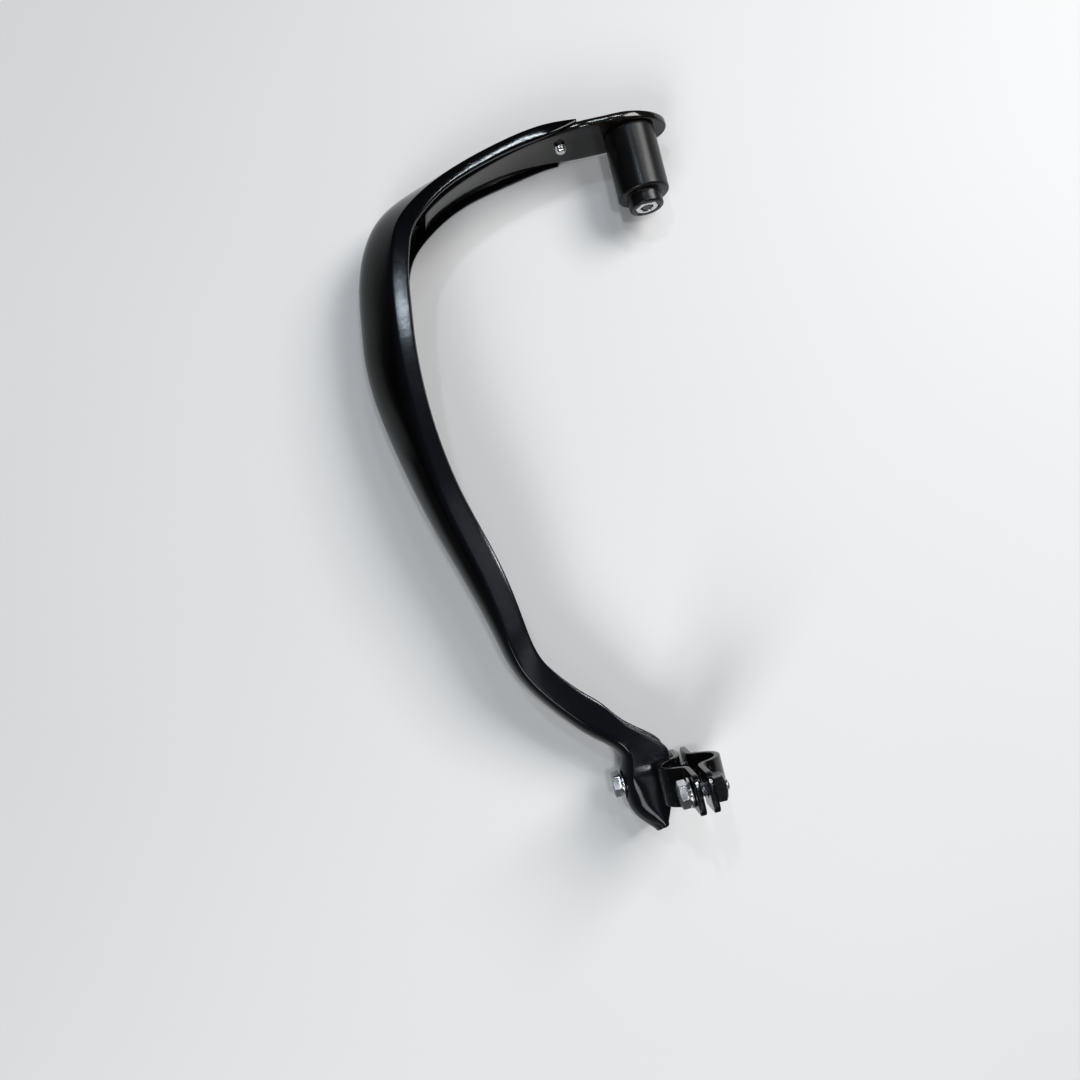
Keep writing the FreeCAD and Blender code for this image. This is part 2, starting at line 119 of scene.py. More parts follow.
def inset_loop(loop, d):
    """Move a closed 2-D loop inward by d along its vertex normals."""
    loop = np.asarray(loop, float)
    e = unit(np.roll(loop, -1, 0) - loop)
    nrm = np.stack([-e[:, 1], e[:, 0]], 1)
    v = unit(nrm + np.roll(nrm, 1, 0))
    area = 0.5 * np.sum(loop[:, 0] * np.roll(loop[:, 1], -1) - np.roll(loop[:, 0], -1) * loop[:, 1])
    return loop + v * d * (1 if area > 0 else -1)


def wobble(x, seed, scale):
    return noise.noise(Vector((x * scale, seed * 7.31, seed * 1.7)))


def make(name, verts, faces, sharp_deg=34.0, link=True):
    """A mesh object in the row frame from millimetre points, smooth with sharp creases kept."""
    me = bpy.data.meshes.new(name)
    me.from_pydata([tuple(v) for v in row(verts)], [], [tuple(f) for f in faces])
    ob = bpy.data.objects.new(name, me)
    bpy.context.scene.collection.objects.link(ob)
    crease(ob, sharp_deg)
    return ob


def crease(ob, sharp_deg):
    bm = bmesh.new()
    bm.from_mesh(ob.data)
    bmesh.ops.recalc_face_normals(bm, faces=bm.faces)
    limit = math.radians(sharp_deg)
    for f in bm.faces:
        f.smooth = True
    for e in bm.edges:
        e.smooth = not (len(e.link_faces) == 2 and e.calc_face_angle(0.0) > limit)
    bm.to_mesh(ob.data)
    bm.free()


def stitch(rings, closed=False, base=0):
    """Quads between rings of equal length; with closed, the last ring joins the first."""
    k, n = len(rings), len(rings[0])
    faces = []
    for i in range(k if closed else k - 1):
        a, b = base + i * n, base + ((i + 1) % k) * n
        for j in range(n):
            faces.append((a + j, a + (j + 1) % n, b + (j + 1) % n, b + j))
    return faces


def fan(n, start, centre, flip):
    return [
        (centre, start + (j + 1) % n, start + j) if flip else (centre, start + j, start + (j + 1) % n)
        for j in range(n)
    ]


AXES = {
    "x": (np.array([1.0, 0, 0]), np.array([0, 1.0, 0]), np.array([0, 0, 1.0])),
    "y": (np.array([0, 1.0, 0]), np.array([0, 0, 1.0]), np.array([1.0, 0, 0])),
    "z": (np.array([0, 0, 1.0]), np.array([1.0, 0, 0]), np.array([0, 1.0, 0])),
}


def turned(name, origin, axis, profile, n=72, sign=1, closed=False, sharp_deg=34.0):
    """A piece turned about an axis. Each profile row is (radius or function of angle, height or function of angle)."""
    a, u, v = AXES[axis]
    th = np.arange(n) * 2 * math.pi / n
    rings = []
    for r, h in profile:
        rr = r(th) if callable(r) else np.full(n, float(r))
        hh = h(th) if callable(h) else np.full(n, float(h))
        rings.append(
            np.array(origin, float)
            + rr[:, None] * (np.cos(th)[:, None] * u + np.sin(th)[:, None] * v)
            + sign * hh[:, None] * a
        )
    faces = stitch(rings, closed)
    verts = np.concatenate(rings)
    if not closed:
        c0, c1 = len(verts), len(verts) + 1
        verts = np.vstack([verts, rings[0].mean(0), rings[-1].mean(0)])
        faces += fan(n, 0, c0, True) + fan(n, (len(rings) - 1) * n, c1, False)
    return make(name, verts, faces, sharp_deg)


def facet(sides, af, power=46.0, turn=0.0):
    """Radius of a regular prism across angle, its corners just broken."""
    def r(th):
        total = np.zeros_like(th)
        for k in range(sides):
            total += np.clip(np.cos(th - turn - 2 * math.pi * k / sides), 0, None) ** power
        return 0.5 * af / total ** (1 / power)
    return r


def least(fn, cap):
    return lambda th: np.minimum(fn(th), cap)


def threaded(r, pitch, h0, h1, up=True, lead=0.9):
    """Rings of a helical thread from h0 to h1, run out at the end."""
    depth = 0.58 * pitch
    rows = []
    steps = max(2, int(round(abs(h1 - h0) / pitch * 8)))
    for h in np.linspace(h0, h1, steps + 1):
        def rad(th, h=h):
            f = np.mod(h / pitch - th / (2 * math.pi), 1.0)
            tri = np.clip(1.32 * np.abs(2 * f - 1) - 0.16, 0, 1)
            return r - 0.02 - depth * tri
        rows.append((rad, h))
    return rows


def boolean(ob, cutter, op="DIFFERENCE"):
    m = ob.modifiers.new("cut", "BOOLEAN")
    m.operation, m.solver, m.object = op, "EXACT", cutter
    bpy.context.view_layer.update()
    dg = bpy.context.evaluated_depsgraph_get()
    me = bpy.data.meshes.new_from_object(ob.evaluated_get(dg))
    ob.modifiers.clear()
    old = ob.data
    ob.data = me
    bpy.data.meshes.remove(old)
    cm = cutter.data
    bpy.data.objects.remove(cutter)
    bpy.data.meshes.remove(cm)
    tidy(ob)


def tidy(ob):
    """Join points that a cut left on top of each other."""
    bm = bmesh.new()
    bm.from_mesh(ob.data)
    bmesh.ops.remove_doubles(bm, verts=bm.verts, dist=4e-6)
    bmesh.ops.dissolve_degenerate(bm, edges=bm.edges, dist=2e-6)
    bm.to_mesh(ob.data)
    bm.free()


def paint(ob, coords, values):
    """Float attributes by nearest source point, so they outlast the cuts."""
    tree = kdtree.KDTree(len(coords))
    for i, c in enumerate(row(coords)):
        tree.insert(c, i)
    tree.balance()
    idx = [tree.find(v.co)[1] for v in ob.data.vertices]
    for key, val in values.items():
        val = np.asarray(val, np.float32)[idx]
        at = ob.data.attributes.get(key) or ob.data.attributes.new(key, "FLOAT", "POINT")
        at.data.foreach_set("value", val)


def edge_paint(ob, near_deg=20.0):
    """Attribute 'edge': 1 on vertices at the convex corners of a piece."""
    bm = bmesh.new()
    bm.from_mesh(ob.data)
    val = np.zeros(len(bm.verts), np.float32)
    for e in bm.edges:
        if len(e.link_faces) == 2 and e.is_convex:
            a = math.degrees(e.calc_face_angle(0.0))
            if a > near_deg:
                for v in e.verts:
                    val[v.index] = 1.0
    bm.free()
    at = ob.data.attributes.get("edge") or ob.data.attributes.new("edge", "FLOAT", "POINT")
    at.data.foreach_set("value", val)


def weighted(ob):
    m = ob.modifiers.new("weighted", "WEIGHTED_NORMAL")
    m.keep_sharp = True
    m.weight = 60


# ---------------------------------------------------------------- finishes

def nodes_of(mat):
    mat.use_nodes = True
    nt = mat.node_tree
    return nt, nt.nodes["Principled BSDF"]


class Net:
    """Short hand for wiring a material."""

    def __init__(self, name):
        self.mat = bpy.data.materials.new(name)
        self.nt, self.bsdf = nodes_of(self.mat)
        self.co = self.nt.nodes.new("ShaderNodeTexCoord").outputs["Object"]

    def link(self, a, b):
        self.nt.links.new(a, b)

    def noise(self, scale, detail=3.0, rough=0.5, stretch=None, lac=2.0):
        n = self.nt.nodes.new("ShaderNodeTexNoise")
        n.inputs["Scale"].default_value = scale
        n.inputs["Detail"].default_value = detail
        n.inputs["Roughness"].default_value = rough
        n.inputs["Lacunarity"].default_value = lac
        src = self.co
        if stretch is not None:
            mp = self.nt.nodes.new("ShaderNodeMapping")
            mp.inputs["Scale"].default_value = stretch[:3]
            if len(stretch) > 3:
                mp.inputs["Rotation"].default_value = stretch[3]
            self.link(self.co, mp.inputs["Vector"])
            src = mp.outputs["Vector"]
        self.link(src, n.inputs["Vector"])
        return n.outputs["Fac"]

    def cells(self, scale, feature="F1", out="Distance", jitter=1.0):
        n = self.nt.nodes.new("ShaderNodeTexVoronoi")
        n.feature = feature
        n.inputs["Scale"].default_value = scale
        n.inputs["Randomness"].default_value = jitter
        self.link(self.co, n.inputs["Vector"])
        return n.outputs[out]

    def ramp(self, fac, *stops):
        n = self.nt.nodes.new("ShaderNodeValToRGB")
        el = n.color_ramp.elements
        for i, (pos, c) in enumerate(stops):
            e = el[i] if i < 2 else el.new(pos)
            e.position = pos
            e.color = (c, c, c, 1) if not isinstance(c, tuple) else (*c, 1)
        self.link(fac, n.inputs["Fac"])
        return n.outputs["Color"]

    def span(self, fac, a, b, lo, hi):
        n = self.nt.nodes.new("ShaderNodeMapRange")
        n.inputs["From Min"].default_value, n.inputs["From Max"].default_value = a, b
        n.inputs["To Min"].default_value, n.inputs["To Max"].default_value = lo, hi
        self.link(fac, n.inputs["Value"])
        return n.outputs["Result"]

    def math(self, op, a, b, clamp=False):
        n = self.nt.nodes.new("ShaderNodeMath")
        n.operation, n.use_clamp = op, clamp
        for k, s in enumerate((a, b)):
            if isinstance(s, (int, float)):
                n.inputs[k].default_value = s
            else:
                self.link(s, n.inputs[k])
        return n.outputs[0]

    def mix(self, fac, a, b):
        n = self.nt.nodes.new("ShaderNodeMix")
        n.data_type = "RGBA"
        if isinstance(fac, (int, float)):
            n.inputs["Factor"].default_value = fac
        else:
            self.link(fac, n.inputs["Factor"])
        for key, s in (("A", a), ("B", b)):
            sock = [i for i in n.inputs if i.name == key and i.type == "RGBA"][0]
            if isinstance(s, tuple):
                sock.default_value = (*s, 1)
            else:
                self.link(s, sock)
        return [o for o in n.outputs if o.type == "RGBA"][0]

    def attr(self, name):
        n = self.nt.nodes.new("ShaderNodeAttribute")
        n.attribute_name = name
        return n.outputs["Fac"]

    def bump(self, *layers):
        """layers: (height, strength, distance in metres)."""
        last = None
        for h, s, d in layers:
            n = self.nt.nodes.new("ShaderNodeBump")
            n.inputs["Strength"].default_value = s
            n.inputs["Distance"].default_value = d
            self.link(h, n.inputs["Height"])
            if last is not None:
                self.link(last, n.inputs["Normal"])
            last = n.outputs["Normal"]
        self.link(last, self.bsdf.inputs["Normal"])

    def set(self, **k):
        for key, v in k.items():
            sock = self.bsdf.inputs[key.replace("_", " ")]
            if isinstance(v, (int, float)):
                sock.default_value = v
            elif isinstance(v, tuple):
                sock.default_value = (*v, 1)
            else:
                self.link(v, sock)


def dust(net, scale, size):
    """Sparse pale specks."""
    d = net.cells(scale)
    speck = net.span(d, size * 0.5, size, 1.0, 0.0)
    pick = net.span(net.noise(scale * 0.37, 1.0), 0.60, 0.64, 0.0, 1.0)
    return net.math("MULTIPLY", speck, pick, True)


def shell_finish():
    n = Net("shell_gloss_black")
    edge, rail, inner = n.attr("edge"), n.attr("rail"), n.attr("inner")
    broad = n.noise(26.0, 3.0, 0.55)
    fine = n.noise(240.0, 4.0, 0.6)
    flow = n.noise(60.0, 4.0, 0.6, (1.0, 0.12, 1.0))
    rub = n.noise(130.0, 5.0, 0.68)
    speck = dust(n, 420.0, 0.10)
    base = n.mix(n.span(broad, 0.35, 0.65, 0.0, 1.0), (0.0016, 0.0016, 0.0019), (0.0034, 0.0034, 0.0038))
    # Painted sheen: the rail faces and the lug top get a lighter, bluish base that stands in for soft light reflected
    # off these upward faces; their satin roughness below is the real finish.
    base = n.mix(n.math("MULTIPLY", rail, 0.85), base, (0.0098, 0.0104, 0.0140))
    worn = n.math("MULTIPLY", edge, n.span(rub, 0.56, 0.70, 0.0, 0.5), True)
    base = n.mix(worn, base, (0.026, 0.027, 0.030))
    base = n.mix(n.math("MULTIPLY", speck, 0.3), base, (0.12, 0.115, 0.11))
    gloss = n.span(flow, 0.3, 0.7, 0.055, 0.095)
    satin = n.span(fine, 0.3, 0.7, 0.13, 0.19)
    rough = n.math("ADD", n.math("MULTIPLY", gloss, n.math("SUBTRACT", 1.0, rail)), n.math("MULTIPLY", satin, rail))
    rough = n.math("ADD", rough, n.math("MULTIPLY", inner, 0.10))
    rough = n.math("ADD", rough, n.math("MULTIPLY", worn, 0.16))
    rough = n.math("ADD", rough, n.math("MULTIPLY", speck, 0.3), True)
    n.set(Base_Color=base, Roughness=rough, IOR=1.48, Specular_IOR_Level=0.32)
    scuff = n.span(n.noise(900.0, 2.0, 0.5, (0.03, 1.0, 1.0, (0.0, 0.0, 0.6))), 0.66, 0.72, 0.0, 1.0)
    n.bump(
        (n.noise(330.0, 2.0, 0.5), 0.10, 0.00018),
        (n.noise(2300.0, 2.0, 0.5), 0.05, 0.00006),
        (scuff, 0.06, 0.00004),
    )
    return n.mat


def strap_finish():
    n = Net("strap_gloss_black")
    edge = n.attr("edge")
    draw = n.noise(150.0, 5.0, 0.62, (0.035, 1.0, 1.0))
    blot = n.noise(40.0, 3.0, 0.5)
    nick = n.noise(420.0, 4.0, 0.6)
    base = n.mix(n.span(blot, 0.35, 0.65, 0.0, 1.0), (0.0050, 0.0042, 0.0038), (0.0100, 0.0080, 0.0066))
    cut = n.math("MULTIPLY", edge, n.span(nick, 0.54, 0.70, 0.0, 0.45), True)
    base = n.mix(cut, base, (0.030, 0.027, 0.025))
    speck = dust(n, 380.0, 0.11)
    base = n.mix(n.math("MULTIPLY", speck, 0.3), base, (0.12, 0.11, 0.10))
    rough = n.math("ADD", n.span(draw, 0.3, 0.7, 0.055, 0.13), n.math("MULTIPLY", cut, 0.08), True)
    n.set(Base_Color=base, Roughness=rough, IOR=1.56)
    n.bump(
        (n.noise(95.0, 3.0, 0.5), 0.10, 0.0004),
        (draw, 0.06, 0.00010),
        (nick, 0.04, 0.00006),
    )
    return n.mat


def spacer_finish():
    n = Net("spacer_satin_black")
    edge = n.attr("edge")
    drawn = n.noise(420.0, 4.0, 0.6, (1.0, 0.03, 1.0))
    blot = n.noise(70.0, 3.0, 0.5)
    grain = n.noise(1700.0, 3.0, 0.6)
    base = n.mix(n.span(blot, 0.3, 0.7, 0.0, 1.0), (0.0050, 0.0050, 0.0055), (0.0095, 0.0095, 0.0100))
    base = n.mix(n.math("MULTIPLY", edge, n.span(grain, 0.5, 0.65, 0.0, 0.4), True), base, (0.03, 0.03, 0.03))
    speck = dust(n, 500.0, 0.11)
    base = n.mix(n.math("MULTIPLY", speck, 0.6), base, (0.16, 0.155, 0.15))
    n.set(Base_Color=base, Roughness=n.span(drawn, 0.3, 0.7, 0.26, 0.38), IOR=1.49, Specular_IOR_Level=0.42)
    n.bump((drawn, 0.13, 0.00010), (grain, 0.10, 0.00005))
    return n.mat


def steel_finish():
    n = Net("black_coated_steel")
    edge = n.attr("edge")
    peel = n.noise(620.0, 2.0, 0.5)
    blot = n.noise(80.0, 4.0, 0.6)
    chip = n.noise(520.0, 5.0, 0.7)
    bare = n.math("MULTIPLY", edge, n.span(chip, 0.60, 0.68, 0.0, 0.8), True)
    base = n.mix(n.span(blot, 0.3, 0.7, 0.0, 1.0), (0.0040, 0.0040, 0.0046), (0.0085, 0.0085, 0.0095))
    base = n.mix(bare, base, (0.30, 0.30, 0.31))
    rough = n.math("ADD", n.span(blot, 0.3, 0.7, 0.12, 0.24), n.math("MULTIPLY", bare, 0.12), True)
    n.set(Base_Color=base, Metallic=bare, Roughness=rough, IOR=1.52)
    n.bump((peel, 0.22, 0.00018), (chip, 0.05, 0.00005))
    return n.mat


def zinc_finish():
    n = Net("bright_zinc")
    edge = n.attr("edge")
    blot = n.noise(170.0, 4.0, 0.6)
    tint = n.noise(90.0, 2.0, 0.5)
    grain = n.noise(2600.0, 3.0, 0.6)
    base = n.mix(n.span(blot, 0.3, 0.7, 0.0, 1.0), (0.50, 0.51, 0.53), (0.74, 0.75, 0.77))
    base = n.mix(n.span(tint, 0.5, 0.7, 0.0, 0.35), base, (0.60, 0.64, 0.74))
    base = n.mix(n.math("MULTIPLY", edge, 0.4), base, (0.82, 0.82, 0.83))
    n.set(Base_Color=base, Metallic=1.0, Roughness=n.span(blot, 0.3, 0.7, 0.34, 0.17))
    n.bump((grain, 0.07, 0.00004), (blot, 0.05, 0.00010))
    return n.mat


MATS = {
    "shell_plastic": shell_finish(),
    "strap_plastic": strap_finish(),
    "spacer_plastic": spacer_finish(),
    "black_steel": steel_finish(),
    "bright_zinc": zinc_finish(),
}


def dress(ob, slot, *covers):
    """Finish, body, slot and the frame nodes that a piece stands for."""
    ob.data.materials.clear()
    ob.data.materials.append(MATS[slot])
    if "edge" not in ob.data.attributes:
        edge_paint(ob)
    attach(ob, "root")
    if covers:
        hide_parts(*covers)
    return ob


# ---------------------------------------------------------------- shell

# x, y of the upper outer edge, upper rail depth, lower rail depth, lean, bulge, fullness, height
STATIONS = np.array([
    (66.0, 211.3, 1.25, 4.5, 0.0, 0.3, .30, 32.95), (52.0, 211.0, 5.3, 6.6, 2.2, 0.2, .30, 35.2),
    (38.1, 208.85, 5.8, 8.0, 3.6, 0.3, .31, 36.1), (24.5, 205.2, 5.7, 8.7, 5.2, 0.8, .33, 37.0),
    (11.2, 200.5, 5.6, 8.9, 6.8, 2.2, .37, 38.3), (-1.4, 194.75, 5.9, 9.2, 7.6, 4.8, .41, 39.7),
    (-13.0, 187.4, 6.8, 9.2, 7.5, 8.6, .46, 41.1), (-21.9, 178.8, 7.7, 9.0, 7.2, 12.0, .49, 42.0),
    (-26.8, 167.8, 8.0, 8.6, 7.0, 14.0, .50, 42.7), (-29.7, 156.2, 8.0, 8.3, 6.8, 14.6, .50, 43.2),
    (-31.8, 141.3, 8.0, 8.0, 6.5, 14.9, .50, 43.7), (-33.2, 125.4, 7.7, 7.7, 6.2, 15.4, .50, 44.0),
    (-33.4, 107.4, 7.2, 7.2, 5.8, 14.7, .48, 44.0), (-32.8, 89.4, 7.2, 7.2, 5.4, 12.6, .43, 43.9),
    (-31.5, 71.3, 7.9, 7.9, 4.9, 10.3, .37, 43.6), (-29.0, 53.4, 8.8, 8.8, 4.3, 8.6, .33, 43.1),
    (-24.9, 36.0, 9.4, 9.4, 3.7, 7.8, .30, 42.3), (-21.0, 20.6, 9.5, 9.5, 3.1, 7.3, .30, 41.1),
    (-18.4, 5.9, 9.6, 9.6, 2.5, 6.0, .30, 39.5), (-16.6, -8.1, 9.6, 9.6, 2.0, 4.6, .30, 37.6),
    (-13.8, -21.2, 9.6, 9.6, 1.5, 4.0, .30, 35.3), (-7.3, -33.8, 9.9, 9.9, 1.0, 3.9, .30, 32.4),
    (2.6, -46.4, 10.2, 10.2, .6, 4.0, .30, 29.2), (12.7, -56.9, 10.3, 10.3, .3, 4.2, .30, 26.3),
    (23.0, -67.0, 10.0, 10.0, 0.0, 4.5, .30, 24.0),
])
# Lug: upper edge point, lip point
LUG = [
    ((24.05, -70.67), (38.2, -67.4)), ((22.78, -78.4), (40.2, -75.0)), ((22.48, -87.6), (39.4, -84.0)),
    ((24.15, -94.9), (37.2, -93.2)), ((27.5, -99.2), (35.4, -98.4)), ((30.9, -102.7), (33.9, -101.9)),
]
RAIL_T, WALL_T, LUG_H = 2.6, 2.8, 24.0
CROWN_Y, CROWN_FOLD, CROWN_SLOPE = -78.6, 3.0, 0.105
RIDGE_RUN, RIDGE_H = 3.4, 0.32

n_ch, n_lug = len(STATIONS), len(LUG)
edge_pts = np.vstack([STATIONS[:, :2], [p for p, _ in LUG]])
knots = np.concatenate([[0], np.cumsum(np.linalg.norm(np.diff(edge_pts, axis=0), axis=1))])


def left_normals(pts):
    t = unit(np.gradient(pts, axis=0))
    return np.stack([-t[:, 1], t[:, 0]], 1)


fine_t = np.linspace(0, knots[-1], 4000)
fine_p = spline(knots, edge_pts, fine_t)
fine_n = left_normals(fine_p)
knot_n = np.stack([np.interp(knots, fine_t, fine_n[:, k]) for k in (0, 1)], 1)
knot_n[0] = (0.03, -1.0)
knot_n = unit(knot_n)


def pad(values, lug_value):
    return np.concatenate([values, np.full(n_lug, float(lug_value))])


lean_k, bulge_k = pad(STATIONS[:, 4], 0.0), pad(STATIONS[:, 5], 4.2)
shoulder_k = np.interp(STATIONS[:, 1], (80.0, 125.0), (0.10, 0.0))
full_k, high_k = pad(np.maximum(STATIONS[:, 6] - shoulder_k, 0.20), 0.30), pad(STATIONS[:, 7], LUG_H)
lip_u = np.vstack([STATIONS[:, :2] + knot_n[:n_ch] * STATIONS[:, 2:3], [q for _, q in LUG]])
lip_l = np.vstack([STATIONS[:, :2] + knot_n[:n_ch] * (STATIONS[:, 3:4] - STATIONS[:, 4:5]), [q for _, q in LUG]])
rail_k, wall_k, base_k = pad(np.full(n_ch, RAIL_T), RAIL_T), pad(np.full(n_ch, WALL_T), 3.0), np.zeros(n_ch + n_lug)
rail_k[:2] = (0.55, 1.8)
wall_k[:6] = (0.45, 1.5, 1.8, 2.0, 2.2, 2.5)
base_k[:4] = (1.2, 0.5, 0.15, 0.04)

STEP = 1.5
count = int(knots[-1] / STEP)
dense = np.linspace(0, knots[-1], count + 1)
P = even(spline(knots, edge_pts, dense), 16)
QU, QL = even(spline(knots, lip_u, dense), 16), even(spline(knots, lip_l, dense), 16)
N = left_normals(P)


def along(v, passes=20):
    return even(np.interp(dense, knots, v) * 0.5 + spline(knots, v, dense) * 0.5, passes)


LEAN, BULGE, FULL, HIGH = along(lean_k), along(bulge_k), along(full_k), along(high_k)
RAIL, WALL, BASE = along(rail_k), along(wall_k), np.clip(along(base_k), 0, None)

# Where the lug is, the faces round over more.
ROUND = np.clip((dense - knots[n_ch + 1] + 2.0) / 13.0, 0, 1)
ROUND = ROUND * ROUND * (3 - 2 * ROUND)
# The hollow runs out towards the tip of the lug.
FILL = np.clip((dense - (knots[-1] - 7.0)) / 5.0, 0, 1) ** 2


def crown(y):
    """Fall of the lug's faces past the fold across it."""
    d = np.clip(CROWN_Y - y, 0, None)
    fold = np.minimum(d, CROWN_FOLD)
    return CROWN_SLOPE * (fold * fold / (2 * CROWN_FOLD) + np.clip(d - CROWN_FOLD, 0, None))


def ridge(y):
    """Low step up just before that fold, on the upper face."""
    rise = np.clip((CROWN_Y + RIDGE_RUN - y) / RIDGE_RUN, 0, 1)
    return RIDGE_H * rise * rise * (3 - 2 * rise)


def profile(i, shrink=0.0):
    """Local (depth, height) outline of section i with its corners rounded, and three masks."""
    tall, base = HIGH[i], BASE[i]
    up = np.linalg.norm(QU[i] - P[i])
    lo_o = P[i] - N[i] * LEAN[i]
    low = np.linalg.norm(QL[i] - lo_o)
    rail, wall = RAIL[i], min(WALL[i], up - 0.7)
    k = 4 / 3 * BULGE[i]
    span = tall - base
    full = FULL[i]
    zi0, zi1 = base + rail, tall - rail
    hi = zi1 - zi0
    outer = [(0, tall), (-k, base + span * (1 - full)), (-k, base + span * full), (0, base)]
    ki = k * (1 - FILL[i])
    inner = [(wall, zi0), (wall - ki, zi0 + hi * full), (wall - ki, zi1 - hi * full), (wall, zi1)]
    ra = min(0.75 + 2.9 * ROUND[i], (0.46 + 0.9 * ROUND[i]) * rail, 0.4 * up)
    rl = min(0.6, 0.37 * rail, 0.3 * (up - wall))
    re = min(1.1, 0.35 * (up - wall))
    ta = ra / np.linalg.norm(3 * (np.array(outer[1]) - np.array(outer[0])))
    te = re / np.linalg.norm(3 * (np.array(inner[1]) - np.array(inner[0])))
    pts, edge, rmask, imask = [], [], [], []

    def add(p, e, r, ins):
        p = np.asarray(p, float)
        pts.append(p)
        edge.append(np.full(len(p), e) if np.isscalar(e) else e)
        rmask.append(np.full(len(p), float(r)))
        imask.append(np.full(len(p), float(ins)))

    bow = np.sin(np.linspace(0, math.pi, 8)[1:-1]) * 0.035
    top = line((up - rl, tall), (ra, tall), 6)
    top[:, 1] += bow
    add(top, 0.0, 1, 0)
    o_a, o_b = bez3(outer, [ta])[0], bez3(outer, [1 - ta])[0]
    add(bez2((ra, tall), (0, tall), o_a, 7), 0.25 * np.sin(np.linspace(0, math.pi, 7)), 0.6, 0)
    add(bez3(outer, np.linspace(ta, 1 - ta, 32)[1:-1]), 0.0, 0, 0)
    add(bez2(o_b, (0, base), (ra, base), 7), 0.25 * np.sin(np.linspace(0, math.pi, 7)), 0.6, 0)
    add(line((ra, base), (low - rl, base), 4), 0.0, 1, 0)
    add(bez2((low - rl, base), (low, base), (low, base + rl), 5), 0.8, 1, 0)
    add(bez2((low, zi0 - rl), (low, zi0), (low - rl, zi0), 5), 0.8, 1, 0)
    add(line((low - rl, zi0), (wall + re, zi0), 3), 0.0, 0.4, 1)
    i_a, i_b = bez3(inner, [te])[0], bez3(inner, [1 - te])[0]
    add(bez2((wall + re, zi0), (wall, zi0), i_a, 5), 0.0, 0, 1)
    add(bez3(inner, np.linspace(te, 1 - te, 26)[1:-1]), 0.0, 0, 1)
    add(bez2(i_b, (wall, zi1), (wall + re, zi1), 5), 0.0, 0, 1)
    add(line((wall + re, zi1), (up - rl, zi1), 3), 0.0, 0.4, 1)
    add(bez2((up - rl, zi1), (up, zi1), (up, zi1 + rl), 5), 0.8, 1, 0)
    add(bez2((up, tall - rl), (up, tall), (up - rl, tall), 5), 0.8, 1, 0)
    loop = np.concatenate(pts)
    if shrink:
        loop = inset_loop(loop, shrink)
    return loop, np.concatenate(edge), np.concatenate(rmask), np.concatenate(imask)


def place(i, loop, shift=0.0):
    """Section outline to space; shift moves it along the path."""
    u, z = loop[:, 0], loop[:, 1]
    f = np.clip(z / HIGH[i], 0, 1)
    origin = P[i] - N[i] * (LEAN[i] * (1 - f))[:, None]
    d_u = unit(QU[i] - P[i])
    d_l = unit(QL[i] - (P[i] - N[i] * LEAN[i]))
    d = unit(d_l * (1 - f)[:, None] + d_u * f[:, None])
    plan = origin + np.where((u >= 0)[:, None], d * u[:, None], N[i] * u[:, None])
    if shift:
        t = np.array([N[i][1], -N[i][0]])
        plan = plan + t * shift
    c = crown(plan[:, 1])
    # Across the lug the two faces are gently domed.
    wide = np.linalg.norm(QU[i] - P[i])
    v = np.clip((u - 0.42 * wide) / (0.58 * wide), -1.2, 1.0)
    c = c + ROUND[i] * 1.15 * v * v
    zz = z + c * (1 - 2 * f) + ridge(plan[:, 1]) * np.clip(4 * f - 3, 0, 1)
    return np.column_stack([plan, zz])


def swept_shell():
    rings, ed, rl, inn = [], [], [], []
    last = len(dense) - 1

    def put(i, shrink, shift):
        loop, e, r, k = profile(i, shrink)
        rings.append(place(i, loop, shift))
        ed.append(e), rl.append(r), inn.append(k)

    rim = 0.09
    for a in (90, 60, 30):
        s = math.radians(a)
        put(0, rim * (1 - math.cos(s)), rim * (1 - math.sin(s)))
    for i in range(1, last + 1):
        put(i, 0.0, 0.0)
    # The tip closes in a blunt nose.
    tip, e, r, k = profile(last)
    mid = 0.5 * (tip.min(0) + tip.max(0))
    for v in (0.3, 0.55, 0.75, 0.9, 1.0):
        f = 0.5 + 0.5 * math.sqrt(1 - v * v)
        ring = place(last, mid + (tip - mid) * np.array([f, 1 - (1 - f) * 0.35]))
        rings.append(ring + np.array([0.18, -0.98, 0.0]) * 1.9 * v)
        ed.append(e), rl.append(r), inn.append(k)
    faces = stitch(rings)
    n = len(rings[0])
    faces += [tuple(range(n)), tuple(range((len(rings) - 1) * n, len(rings) * n))]
    verts = np.concatenate(rings)
    return verts, faces, np.concatenate(ed), np.concatenate(rl), np.concatenate(inn)


verts, faces, m_edge, m_rail, m_inner = swept_shell()
shell = make("shell_body", verts, faces, 60)

LUG_Y, LUG_Z, LUG_SEAT = -83.0, 12.0, 19.6
boss = turned(
    "boss", (0, LUG_Y, LUG_Z), "x",
    [(6.5, 20.6), (6.5, 41.7), (6.32, 42.12), (5.9, 42.3), (1.0, 42.3)], 64,
)
boolean(shell, boss, "UNION")
boolean(shell, turned("c1", (0, LUG_Y, LUG_Z), "x", [(7.0, 6.0), (7.0, LUG_SEAT)], 72))
boolean(shell, turned("c2", (0, LUG_Y, LUG_Z), "x", [(3.3, 10.0), (3.3, 46.0)], 50))
SCREW_X, SCREW_Z, SCREW_SEAT = 58.0, 19.5, 211.65
boolean(shell, turned("c3", (SCREW_X, 0, SCREW_Z), "y", [(5.3, SCREW_SEAT), (5.3, 222.0)], 64))
boolean(shell, turned("c4", (SCREW_X, 0, SCREW_Z), "y", [(2.7, 204.0), (2.7, 222.0)], 48))
